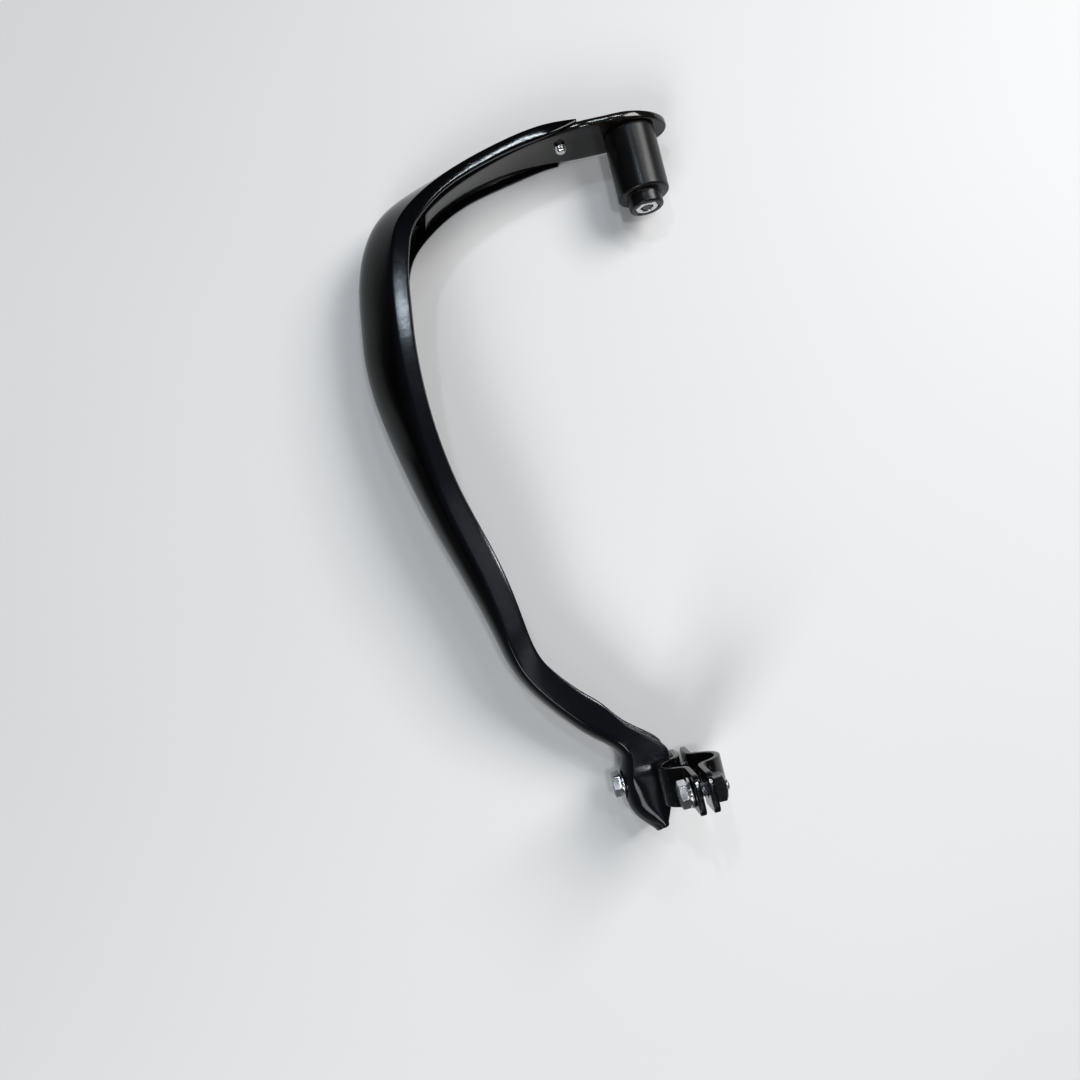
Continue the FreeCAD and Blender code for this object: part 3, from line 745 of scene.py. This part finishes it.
# The lower rail stops short of the wall's end.
cut = np.array([(x, y, z) for z in (-2.0, 2.9) for x, y in ((57.5, 198.0), (72.0, 198.0), (72.0, 210.85), (57.5, 210.85))])
boolean(shell, make("c7", cut, [(0, 1, 2, 3), (4, 5, 6, 7), (0, 1, 5, 4), (1, 2, 6, 5), (2, 3, 7, 6), (3, 0, 4, 7)]))
crease(shell, 40)
# The rail mask carries the satin finish and the painted bluish sheen of the shell material; it fades out along the
# upper run and also covers the lug's top.
m_rail = m_rail * np.clip((192.0 - verts[:, 1]) / 40.0, 0, 1)
m_rail = np.maximum(m_rail, np.clip((-64.0 - verts[:, 1]) / 10.0, 0, 1))
paint(shell, verts, {"edge": m_edge, "rail": m_rail, "inner": m_inner})
dress(shell, "shell_plastic", "shell")

# ---------------------------------------------------------------- strap

STRAP_T, STRAP_LO, STRAP_HI = 3.5, 2.9, 32.3
TIP_X = 109.5
outline_hi = bez3([(83, 32.6), (97, 32.6), (109.5, 22), (109.5, 14.5)], np.linspace(0, 1, 160))
outline_lo = bez3([(94, 2.6), (103, 2.6), (109.5, 7), (109.5, 14.5)], np.linspace(0, 1, 160))


def strap_mesh():
    # The strap lies against the inside of the wall and runs on straight past its end.
    xy = STATIONS[:9, :2].copy()
    xy[0, 1] = 211.9
    k9 = np.concatenate([[0], np.cumsum(np.linalg.norm(np.diff(xy, axis=0), axis=1))])
    t9 = np.linspace(0, k9[6] - 0.8, 78)
    p9 = spline(k9, xy, t9)
    n9 = left_normals(p9)
    n9[0] = (0.0, -1.0)
    gap9 = np.interp(t9, k9, (1.3, 2.0, 2.3, 2.5, 2.7, 3.0, 3.3, 3.3, 3.3))
    lean9 = spline(k9, STATIONS[:9, 4], t9)
    high9 = spline(k9, np.concatenate([[33.3], STATIONS[1:9, 7]]), t9)
    straight = np.concatenate([np.linspace(66, 98, 26)[1:], 98 + 11.47 * np.sin(np.linspace(0, math.pi / 2, 26))[1:]])
    places = [(p9[i], n9[i], lean9[i], high9[i], gap9[i]) for i in range(77, -1, -1)]
    for x in straight:
        places.append((np.array([x, 211.9]), np.array([0.0, -1.0]), 0.0, 33.3, 1.3))
    # Ease the seam between the curve and the straight run.
    pts = np.array([p for p, *_ in places])
    s = np.concatenate([[0], np.cumsum(np.linalg.norm(np.diff(pts, axis=0), axis=1))])
    nrm = unit(even(np.array([q[1] for q in places]), 6))
    lean, high, gap = (even([q[k] for q in places], 6) for k in (2, 3, 4))
    n = len(places)
    x = pts[:, 0]
    hi = np.where(s < s[77], STRAP_HI, np.minimum(STRAP_HI, np.interp(x, outline_hi[:, 0], outline_hi[:, 1], left=32.6)))
    lo = np.where(s < s[77], STRAP_LO, np.maximum(STRAP_LO, np.interp(x, outline_lo[:, 0], outline_lo[:, 1], left=2.6)))
    hi[-1] = lo[-1] = 14.5
    # Slightly uneven trimmed edges.
    hand = np.array([wobble(v, 1, 0.11) + 0.5 * wobble(v, 2, 0.33) for v in s])
    hand2 = np.array([wobble(v, 3, 0.10) + 0.5 * wobble(v, 4, 0.30) for v in s])
    fade = np.clip((s[-1] - s) / 8.0, 0, 1) * np.clip((s - s[50]) / 10.0, 0, 1)
    hi = hi - 0.22 * np.abs(hand) * fade
    lo = lo + 0.20 * np.abs(hand2) * fade
    # Rounded corners at the inner end.
    rc = 2.2
    for i in range(n):
        d = s[i]
        if d < rc:
            cut = rc - math.sqrt(max(rc ** 2 - (rc - d) ** 2, 0))
            hi[i] -= cut
            lo[i] += cut
    m = 12
    ends = np.linspace(lo[0], hi[0], m + 1)
    loop = [(s[i], lo[i]) for i in range(n)] + [(s[i], hi[i]) for i in range(n - 2, -1, -1)]
    loop += [(s[0], z) for z in ends[::-1][1:-1]]
    loop = np.array(loop)
    rad = 0.85
    lvl = [0, 22.5, 45, 67.5, 90]
    steps = [(rad * (1 - math.sin(math.radians(a))), rad * (1 - math.cos(math.radians(a)))) for a in lvl]
    rows_ = [(i, u) for i, u in steps] + [(i, STRAP_T - u) for i, u in steps[::-1]]

    def space(sz, u):
        sz = np.atleast_2d(sz)
        ss, z = np.clip(sz[:, 0], 0, s[-1]), sz[:, 1]
        over = sz[:, 0] - ss
        px, py = np.interp(ss, s, pts[:, 0]), np.interp(ss, s, pts[:, 1])
        nx, ny = np.interp(ss, s, nrm[:, 0]), np.interp(ss, s, nrm[:, 1])
        off = np.interp(ss, s, gap) + u - np.interp(ss, s, lean) * (1 - z / np.interp(ss, s, high))
        return np.column_stack([px + nx * off + over, py + ny * off, z])

    rings, edge, vs = [], [], []
    for ins, u in rows_:
        lp = inset_loop(loop, ins)
        rings.append((lp, space(lp, u)))
        edge += [float(np.clip(1 - abs(ins) / rad, 0, 1)) ** 0.5] * len(lp)
    vs = [r[1] for r in rings]
    k = len(loop)
    faces = stitch(vs)
    verts = list(np.concatenate(vs))
    # Both broad faces as ladders between the lower and upper edge.
    for which, ring in ((0, rings[0]), (1, rings[-1])):
        first = 0 if which == 0 else (len(rings) - 1) * k
        lp = ring[0]
        u = rows_[0][1] if which == 0 else rows_[-1][1]
        grid = []
        for j in range(n):
            b = first + j
            t = first + (2 * (n - 1) - j)
            if j == n - 1:
                grid.append([b] * (m + 1))
                continue
            rowi = [b]
            if j == 0:
                rowi += [first + k - q for q in range(1, m)]
            else:
                lo_p, hi_p = lp[j], lp[2 * (n - 1) - j]
                for q in range(1, m):
                    f = q / m
                    verts.append(space(lo_p * (1 - f) + hi_p * f, u)[0])
                    edge.append(0.0)
                    rowi.append(len(verts) - 1)
            rowi.append(t)
            grid.append(rowi)
        for j in range(n - 1):
            for q in range(m):
                f = [grid[j][q], grid[j + 1][q], grid[j + 1][q + 1], grid[j][q + 1]]
                out = []
                for v in f:
                    if v not in out:
                        out.append(v)
                if len(out) > 2:
                    faces.append(tuple(out) if which else tuple(out[::-1]))
    return np.array(verts), faces, np.array(edge)


s_verts, s_faces, s_edge = strap_mesh()
strap = make("strap_body", s_verts, s_faces, 50)
HOLE_X, HOLE_Z = 91.0, 17.0
boolean(strap, turned("c5", (HOLE_X, 0, HOLE_Z), "y", [(4.2, 200.0), (4.2, 216.0)], 64))
boolean(strap, turned("c6", (SCREW_X, 0, SCREW_Z), "y", [(2.55, 200.0), (2.55, 216.0)], 48))
crease(strap, 40)
paint(strap, s_verts, {"edge": s_edge})
dress(strap, "strap_plastic", "end_strap")

# ---------------------------------------------------------------- fasteners

def hex_bolt(name, origin, length, thread, af=10.0, head=4.0, r=3.0, pitch=1.0):
    """Bolt along +x: seat plane at the origin, head behind it."""
    hx = facet(6, af, turn=0.26)
    flat = 0.5 * af * 0.94

    def top(th):
        return -(head - np.clip(hx(th) - flat, 0, None) * 0.55)

    rows = [(0.55, -head + 0.28), (2.6, -head + 0.22), (flat - 0.4, -head), (flat, -head + 0.02)]
    rows += [(lambda th: 0.5 * (flat + hx(th)), lambda th: 0.5 * (-head + top(th)))]
    rows += [(hx, top), (hx, lambda th: top(th) * 0.55), (hx, -0.75)]
    rows += [(lambda th: hx(th) - 0.12, -0.48), (0.5 * af - 0.25, -0.42), (0.5 * af - 0.3, -0.02)]
    rows += [(r + 0.5, 0.0), (r + 0.02, 0.1), (r, 0.6), (r, length - thread - 0.8)]
    rows += threaded(r, pitch, length - thread, length - 0.9)
    rows += [(r - 0.55, length - 0.5), (r - 0.95, length), (0.5, length)]
    ob = turned(name, origin, "x", rows, 84, sharp_deg=28)
    return ob


def washer(name, origin, r=6.0, bore=3.2, t=1.6):
    rows = [(bore, 0.15), (bore + 0.15, 0.0), (r - 0.25, 0.0), (r - 0.06, 0.1), (r, 0.32),
            (r, t - 0.75), (r - 0.14, t - 0.35), (r - 0.5, t - 0.08), (r - 0.9, t), (bore + 0.3, t), (bore, t - 0.28)]
    return turned(name, origin, "x", rows, 72, closed=True, sharp_deg=50)


BAR_X, BAR_Z, BAR_R = 46.3, 36.5, 11.1
STRIP_T, STRIP_W, STRIP_HALF, STRIP_GAP = 2.5, 16.0, 34.0, 3.0
LOW_Z, HIGH_Z = BAR_Z - 24.5, BAR_Z + 24.5
low_seat = LUG_SEAT - 1.6
strip_face = BAR_X - STRIP_GAP / 2 - STRIP_T
nut_face = BAR_X + STRIP_GAP / 2 + STRIP_T

bolt_low = hex_bolt("bolt_lower_body", (low_seat, LUG_Y, LOW_Z), 40.0, 18.0)
dress(bolt_low, "bright_zinc", "clamp_bolt_lower")
bolt_up = hex_bolt("bolt_upper_body", (strip_face - 1.6, LUG_Y, HIGH_Z), 16.0, 13.0)
dress(bolt_up, "bright_zinc", "clamp_bolt_upper")
wash_low = washer("washer_lower_body", (low_seat, LUG_Y, LOW_Z))
dress(wash_low, "bright_zinc")
wash_up = washer("washer_upper_body", (strip_face - 1.6, LUG_Y, HIGH_Z))
dress(wash_up, "bright_zinc")
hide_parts("clamp_washers")


def strip_path(side):
    """Centre line of a strip in (x, z), with its normal, from the foot upward."""
    flat_x = BAR_X + side * (STRIP_GAP / 2 + STRIP_T / 2)
    rm = BAR_R + STRIP_T / 2
    shoulder = 4.5 + STRIP_T / 2
    # Arc about the bar joins a reverse arc at each shoulder.
    dx = abs(flat_x - BAR_X) + shoulder
    reach = rm + shoulder
    half = math.sqrt(max(reach ** 2 - dx ** 2, 0.0))
    a_end = math.atan2(half, dx)
    pts = []
    for z in np.linspace(BAR_Z - STRIP_HALF, BAR_Z - half, 15):
        pts.append((flat_x, z))
    c = (flat_x + side * shoulder, BAR_Z - half)
    for a in np.linspace(0, a_end, 13)[1:]:
        pts.append((c[0] - side * shoulder * math.cos(a), c[1] + shoulder * math.sin(a)))
    for a in np.linspace(-a_end, a_end, 49)[1:-1]:
        pts.append((BAR_X + side * rm * math.cos(a), BAR_Z + rm * math.sin(a)))
    c2 = (c[0], BAR_Z + half)
    for a in np.linspace(a_end, 0, 13)[:-1]:
        pts.append((c2[0] - side * shoulder * math.cos(a), c2[1] - shoulder * math.sin(a)))
    for z in np.linspace(BAR_Z + half, BAR_Z + STRIP_HALF, 15):
        pts.append((flat_x, z))
    return np.array(pts)


def clamp_strip(name, side):
    path = strip_path(side)
    d = np.linalg.norm(np.diff(path, axis=0), axis=1)
    path = path[np.concatenate([[True], d > 1e-6])]
    s = np.concatenate([[0], np.cumsum(np.linalg.norm(np.diff(path, axis=0), axis=1))])
    total = s[-1]
    q = np.concatenate([3.0 * (1 - np.cos(np.linspace(0, math.pi / 2, 9)))[1:], np.linspace(3.0, total - 3.0, 128)[1:-1],
                        total - 3.0 * (1 - np.cos(np.linspace(math.pi / 2, 0, 9)))[:-1]])
    x, z = np.interp(q, s, path[:, 0]), np.interp(q, s, path[:, 1])
    x, z = even(x, 3), even(z, 3)
    t = unit(np.stack([np.gradient(x, q), np.gradient(z, q)], 1))
    nx, nz = t[:, 1], -t[:, 0]
    rc = 3.0
    rings = []
    for i in range(len(q)):
        e = min(q[i], total - q[i])
        w = STRIP_W / 2 - (rc - math.sqrt(max(rc ** 2 - (rc - e) ** 2, 0)) if e < rc else 0)
        b = 0.5
        h = STRIP_T / 2
        corner = []
        for cy, cn, a0 in ((w - b, h - b, 0), (-(w - b), h - b, 90), (-(w - b), -(h - b), 180), (w - b, -(h - b), 270)):
            for a in np.linspace(a0, a0 + 90, 6):
                corner.append((cy + b * math.cos(math.radians(a)), cn + b * math.sin(math.radians(a))))
        c = np.array(corner)
        sag = 0.05 * wobble(q[i], 5 + side, 0.06)
        rings.append(np.column_stack([x[i] + nx[i] * c[:, 1], LUG_Y + c[:, 0] + sag, z[i] + nz[i] * c[:, 1]]))
    # Ends drawn in a little so that their rims are broken.
    for idx, nb in ((0, 1), (-1, -2)):
        mid = rings[idx].mean(0)
        rings[idx] = mid + (rings[idx] - mid) * np.array([0.72, 0.96, 1.0])
    faces = stitch(rings)
    vv = np.concatenate(rings)
    n = len(rings[0])
    vv = np.vstack([vv, rings[0].mean(0), rings[-1].mean(0)])
    faces += fan(n, 0, len(vv) - 2, True) + fan(n, (len(rings) - 1) * n, len(vv) - 1, False)
    ob = make(name, vv, faces, 40)
    for z0, tag in ((LOW_Z, "a"), (HIGH_Z, "b")):
        mid_x = BAR_X + side * (STRIP_GAP / 2 + STRIP_T / 2)
        boolean(ob, turned("cut_" + tag, (mid_x, LUG_Y, z0), "x", [(3.3, -5.0), (3.3, 5.0)], 48))
    crease(ob, 40)
    lengthwise = np.tile([1.0 if k % 6 in (1, 2, 3, 4) else 0.35 for k in range(24)], len(rings))
    paint(ob, np.concatenate(rings), {"edge": lengthwise * 0.9})
    return ob


plain = clamp_strip("strip_plain_body", -1)
dress(plain, "black_steel", "clamp_strip_plain")
nutted = clamp_strip("strip_nut_body", 1)
dress(nutted, "black_steel", "clamp_strip_nut_side")


def square_nut(name, z0):
    sq = facet(4, 10.0, 64.0)
    top = lambda th: 5.0 - np.clip(sq(th) - 4.75, 0, None) * 0.5
    rows = [(3.05, 0.4), (3.4, 0.0), (4.6, 0.0), (lambda th: sq(th) - 0.2, 0.0), (sq, 0.22),
            (sq, 2.5), (sq, lambda th: top(th) - 0.2), (lambda th: sq(th) - 0.2, top),
            (4.8, 4.98), (4.4, 5.0), (3.6, 5.0), (3.05, 4.5)]
    return turned(name, (nut_face, LUG_Y, z0), "x", rows, 96, closed=True, sharp_deg=30)


def weld(name, y0, z0, side):
    """Short rippled bead in the corner between a nut's flank and the strip."""
    rings = []
    for i, v in enumerate(np.linspace(0, 1, 29)):
        swell = math.sin(math.pi * (0.06 + 0.88 * v)) ** 0.45
        ripple = 1 + 0.10 * math.cos(2 * math.pi * v * 5.5) + 0.07 * wobble(v * 10 + z0, 9 + side, 0.6)
        r = 1.15 * swell * ripple
        th = np.arange(20) * 2 * math.pi / 20
        rings.append(np.column_stack([
            nut_face + 0.15 + r * np.cos(th),
            np.full(20, 0.0) + y0 + side * 0.1 + r * np.sin(th),
            np.full(20, z0 - 2.8 + 5.6 * v),
        ]))
    vv = np.concatenate(rings)
    n = 20
    vv = np.vstack([vv, rings[0].mean(0), rings[-1].mean(0)])
    fs = stitch(rings) + fan(n, 0, len(vv) - 2, True) + fan(n, (len(rings) - 1) * n, len(vv) - 1, False)
    return make(name, vv, fs, 60)


for tag, z0 in (("lower", LOW_Z), ("upper", HIGH_Z)):
    nut = square_nut("square_nut_" + tag, z0)
    dress(nut, "black_steel")
    for side in (-1, 1):
        bead = weld("weld_%s_%s" % (tag, "a" if side < 0 else "b"), LUG_Y + side * 5.0, z0, side)
        dress(bead, "black_steel")
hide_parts("clamp_weld_nuts")

# ---------------------------------------------------------------- bar end

FACE_OUT, FACE_IN = 210.6, 207.1


def seamed(r, lift=0.10):
    """Round with two faint parting lines."""
    def rad(th):
        out = np.full_like(th, r)
        for a in (0.62, 0.62 + math.pi):
            d = np.angle(np.exp(1j * (th - a))) * r
            out += lift * np.exp(-(d / 0.22) ** 2)
        return out
    return rad


pocket = facet(6, 10.3, 60.0)
barrel = turned(
    "spacer_body", (HOLE_X, FACE_IN, HOLE_Z), "y",
    [(3.3, 2.5), (4.2, 2.5), (4.2, 0.3), (4.5, 0.0), (10.4, 0.0), (11.2, 0.1), (seamed(11.75), 0.45), (seamed(12.0), 1.1)]
    + [(seamed(12.0), h) for h in np.linspace(2.0, 29.6, 15)]
    + [(seamed(12.0), 30.0), (11.78, 30.55), (11.3, 30.9), (10.6, 31.0), (8.7, 31.0), (8.2, 31.12), (8.0, 31.5)]
    + [(8.0, 33.0), (8.0, 36.2), (7.85, 36.6), (7.4, 36.95), (7.0, 37.0), (lambda th: pocket(th) + 0.25, 37.0), (pocket, 36.7)]
    + [(pocket, 31.9), (lambda th: pocket(th) - 0.1, 31.8), (4.0, 31.8), (3.3, 31.3)],
    144, sign=-1, closed=True, sharp_deg=38,
)
dress(barrel, "spacer_plastic", "bar_end_spacer")

socket = facet(6, 5.0, 70.0)
pin = turned(
    "bar_end_bolt_body", (HOLE_X, FACE_OUT, HOLE_Z), "y",
    [(0.4, 0.62), (1.4, 0.55), (lambda th: socket(th) - 0.12, 0.5), (socket, 0.6), (socket, 2.0), (lambda th: socket(th) + 0.15, 2.2)]
    + [(4.5, 2.2), (7.6, 2.2), (8.9, 2.12), (9.55, 1.85), (9.9, 1.42), (10.0, 1.0), (9.96, 0.35), (9.8, 0.08), (9.5, 0.0)]
    + [(4.3, 0.0), (4.0, -0.15), (4.0, -5.3), (3.7, -5.6), (3.0, -5.6), (3.0, -32.5)]
    + [(r, h) for r, h in threaded(3.0, 1.0, -33.0, -39.3)] + [(2.45, -39.7), (2.05, -40.05), (0.4, -40.05)],
    96, sharp_deg=30,
)
dress(pin, "black_steel", "bar_end_bolt")

hexn = facet(6, 10.0, 46.0)
nut_rows = [(3.05, 0.5), (3.4, 0.05), (4.5, 0.0), (lambda th: np.minimum(hexn(th), 4.95), 0.05), (hexn, lambda th: np.clip(hexn(th) - 4.8, 0, None) * 0.55 + 0.05),
            (hexn, 2.5), (hexn, lambda th: 5.0 - np.clip(hexn(th) - 4.8, 0, None) * 0.55 - 0.05), (lambda th: np.minimum(hexn(th), 4.95), 4.95), (4.5, 5.0), (3.45, 4.95), (3.05, 4.5)]
nut = turned("bar_end_nut_body", (HOLE_X, FACE_IN - 31.9, HOLE_Z), "y", nut_rows, 84, sign=-1, closed=True, sharp_deg=30)
dress(nut, "bright_zinc", "bar_end_nut")

# Strap screw: pan head outside with a cross recess, thread end standing out inside.
screw_end = SCREW_SEAT - (207.1 - 3.2)
screw = turned(
    "strap_screw_body", (SCREW_X, SCREW_SEAT, SCREW_Z), "y",
    [(0.5, 3.0), (2.6, 2.98), (3.5, 2.86), (4.15, 2.5), (4.55, 1.95), (4.72, 1.3), (4.75, 0.5), (4.66, 0.12), (4.4, 0.0), (2.75, 0.0), (2.5, -0.2), (2.5, -1.4)]
    + [(r, h) for r, h in threaded(2.5, 0.8, -1.6, -(screw_end - 0.7))]
    + [(2.05, -(screw_end - 0.35)), (1.6, -screw_end), (0.5, -screw_end - 0.0)],
    72, sharp_deg=30,
)


def recess(turn):
    """One arm of the cross: a tapered slot."""
    a, b = (2.75, 0.62), (1.5, 0.42)
    vv = []
    for (hl, hw), h in (((a[0] + 0.4, a[1] + 0.06), 3.3), (b, 1.35)):
        for sx, sy in ((-1, -1), (1, -1), (1, 1), (-1, 1)):
            px, pz = sx * hl, sy * hw
            c, s_ = math.cos(turn), math.sin(turn)
            vv.append((SCREW_X + px * c - pz * s_, SCREW_SEAT + h, SCREW_Z + px * s_ + pz * c))
    fs = [(0, 1, 2, 3), (7, 6, 5, 4), (0, 4, 5, 1), (1, 5, 6, 2), (2, 6, 7, 3), (3, 7, 4, 0)]
    return make("recess", np.array(vv), fs, 30)


boolean(screw, recess(0.35))
boolean(screw, recess(0.35 + math.pi / 2))
crease(screw, 30)
dress(screw, "bright_zinc", "strap_screw")

# ---------------------------------------------------------------- stage, light and camera

scene = bpy.context.scene


BACKDROP, BACKDROP_POWER = (0.92, 0.95, 1.0), 0.62


def floor_finish():
    n = Net("floor_pale")
    cloud = n.noise(1.4, 3.0, 0.5)
    pale = n.mix(n.span(cloud, 0.3, 0.7, 0.0, 1.0), (0.70, 0.70, 0.705), (0.76, 0.76, 0.76))
    # Painted reflection shade: for glossy rays only, the floor away from the outer wall is painted near black, so the
    # shell's walls show a dark band in their reflection; no flag stands beside the set.
    seen = n.nt.nodes.new("ShaderNodeLightPath").outputs["Is Glossy Ray"]
    painted_gloss_shade = n.math("MULTIPLY", n.math("MULTIPLY", n.attr("painted_gloss_shade"), seen), 0.92)
    lit = n.mix(n.attr("fade"), n.mix(painted_gloss_shade, pale, (0.03, 0.03, 0.03)), (0.0, 0.0, 0.0))
    n.set(Base_Color=lit, Roughness=n.span(cloud, 0.3, 0.7, 0.55, 0.65))
    # Far out the floor runs into the backdrop.
    direct = n.nt.nodes.new("ShaderNodeLightPath").outputs["Is Camera Ray"]
    n.set(Emission_Color=BACKDROP, Emission_Strength=n.math("MULTIPLY", n.math("MULTIPLY", n.attr("glow"), direct), BACKDROP_POWER))
    return n.mat


def floor_mesh():
    far = np.array([0.54, 0.60, 0.68, 0.77, 0.87, 0.98, 1.1, 1.25, 1.4, 1.6, 1.9, 2.4, 4.0])
    ax = np.concatenate([-far[::-1], np.linspace(-0.48, 0.48, 97), far])
    k = len(ax)
    gx, gy = np.meshgrid(ax, ax, indexing="ij")
    pts = np.column_stack([gx.ravel(), gy.ravel()])
    edge = (P + np.array([SX, SY])) * MM
    # Painted reflection shade mask: 0 close to the outer wall, rising to 1 further out; only glossy rays see the floor
    # darkened by it.
    painted_gloss_shade = np.zeros(len(pts))
    for i, q in enumerate(pts):
        d = q - edge
        near = int(np.argmin((d ** 2).sum(1)))
        out = -float(d[near] @ N[near])
        y_near = P[near][1]
        start = np.interp(y_near, (-50.0, 40.0, 90.0, 122.0), (0.004, 0.015, 0.030, 0.055))
        run = np.interp(y_near, (-50.0, 40.0, 90.0, 122.0), (0.04, 0.06, 0.11, 0.40))
        f = min(max((out - start) / run, 0.0), 1.0)
        painted_gloss_shade[i] = f * f * (3 - 2 * f)
    fade = np.clip((np.linalg.norm(pts, axis=1) - 0.42) / 1.1, 0, 1)
    fade = fade * fade * (3 - 2 * fade)
    me = bpy.data.meshes.new("floor")
    quads = [(i * k + j, (i + 1) * k + j, (i + 1) * k + j + 1, i * k + j + 1) for i in range(k - 1) for j in range(k - 1)]
    me.from_pydata([(x, y, -0.0002) for x, y in pts], [], quads)
    for key, val in (("painted_gloss_shade", painted_gloss_shade), ("fade", fade), ("glow", 1 - (1 - fade) ** 2)):
        at = me.attributes.new(key, "FLOAT", "POINT")
        at.data.foreach_set("value", val.astype(np.float32))
    ob = bpy.data.objects.new("floor", me)
    scene.collection.objects.link(ob)
    return ob


floor = floor_mesh()
floor.data.materials.append(floor_finish())

world = bpy.data.worlds.new("studio")
scene.world = world
world.use_nodes = True
back_n = world.node_tree.nodes["Background"]
back_n.inputs["Color"].default_value = (*BACKDROP, 1)
ray = world.node_tree.nodes.new("ShaderNodeLightPath")
lift = world.node_tree.nodes.new("ShaderNodeMapRange")
lift.inputs["To Min"].default_value, lift.inputs["To Max"].default_value = 0.06, BACKDROP_POWER
world.node_tree.links.new(ray.outputs["Is Camera Ray"], lift.inputs["Value"])
world.node_tree.links.new(lift.outputs["Result"], back_n.inputs["Strength"])


def lamp(name, at, aim, size, power, tint=(1, 1, 1)):
    d = bpy.data.lights.new(name, "AREA")
    d.shape, d.size, d.size_y = "RECTANGLE", size[0], size[1]
    d.energy, d.color = power, tint
    ob = bpy.data.objects.new(name, d)
    scene.collection.objects.link(ob)
    ob.location = at
    ob.rotation_euler = (Vector(aim) - Vector(at)).to_track_quat("-Z", "Y").to_euler()
    return ob


lamp("key", (1.05, 0.50, 1.15), (0.05, 0.0, 0), (0.8, 0.8), 17.5, (1.0, 0.985, 0.965))
lamp("side", (-0.75, -1.15, 1.15), (-0.03, 0.0, 0), (0.8, 0.8), 12.0, (0.97, 0.985, 1.0))
lamp("corner", (-0.137, 0.580, 1.2), (-0.057, 0.087, 0.043), (0.05, 0.06), 1.15, (0.80, 0.91, 1.0))
lamp("fold", (0.136, -0.104, 1.2), (0.004, -0.13, 0.024), (0.10, 0.08), 1.6, (0.93, 0.97, 1.0))
lamp("lug", (0.09, -0.64, 1.2), (0.09, -0.13, 0.024), (0.18, 0.22), 0.18, (0.93, 0.97, 1.0))
lamp("tongue", (0.34, 0.755, 1.2), (0.06, 0.155, 0.03), (0.21, 0.03), 1.0, (0.86, 0.94, 1.0))
lamp("arm", (-0.075, -0.16, 1.2), (-0.105, 0.04, 0.04), (0.11, 0.54), 0.24, (0.86, 0.93, 1.0))

TILT, TURN = math.radians(4.5), math.atan2(0.228, 0.974)
ct, st, cp, sp = math.cos(TILT), math.sin(TILT), math.cos(TURN), math.sin(TURN)
right = Vector((cp, -sp, 0))
upv = Vector((sp * ct, cp * ct, st))
back = right.cross(upv)
cam_data = bpy.data.cameras.new("camera")
cam_data.lens, cam_data.sensor_width, cam_data.sensor_fit = 30.0, 36.0, "HORIZONTAL"
cam_data.clip_start, cam_data.clip_end = 0.01, 50.0
cam = bpy.data.objects.new("camera", cam_data)
scene.collection.objects.link(cam)
m = cam.matrix_world.copy()
for k in range(3):
    m[k][0], m[k][1], m[k][2] = right[k], upv[k], back[k]
m[0][3], m[1][3], m[2][3] = SX * MM, SY * MM, 0.4217
cam.matrix_world = m
scene.camera = cam

scene.view_settings.view_transform = "Standard"
scene.view_settings.look = "Medium High Contrast"
scene.view_settings.exposure = 0.0
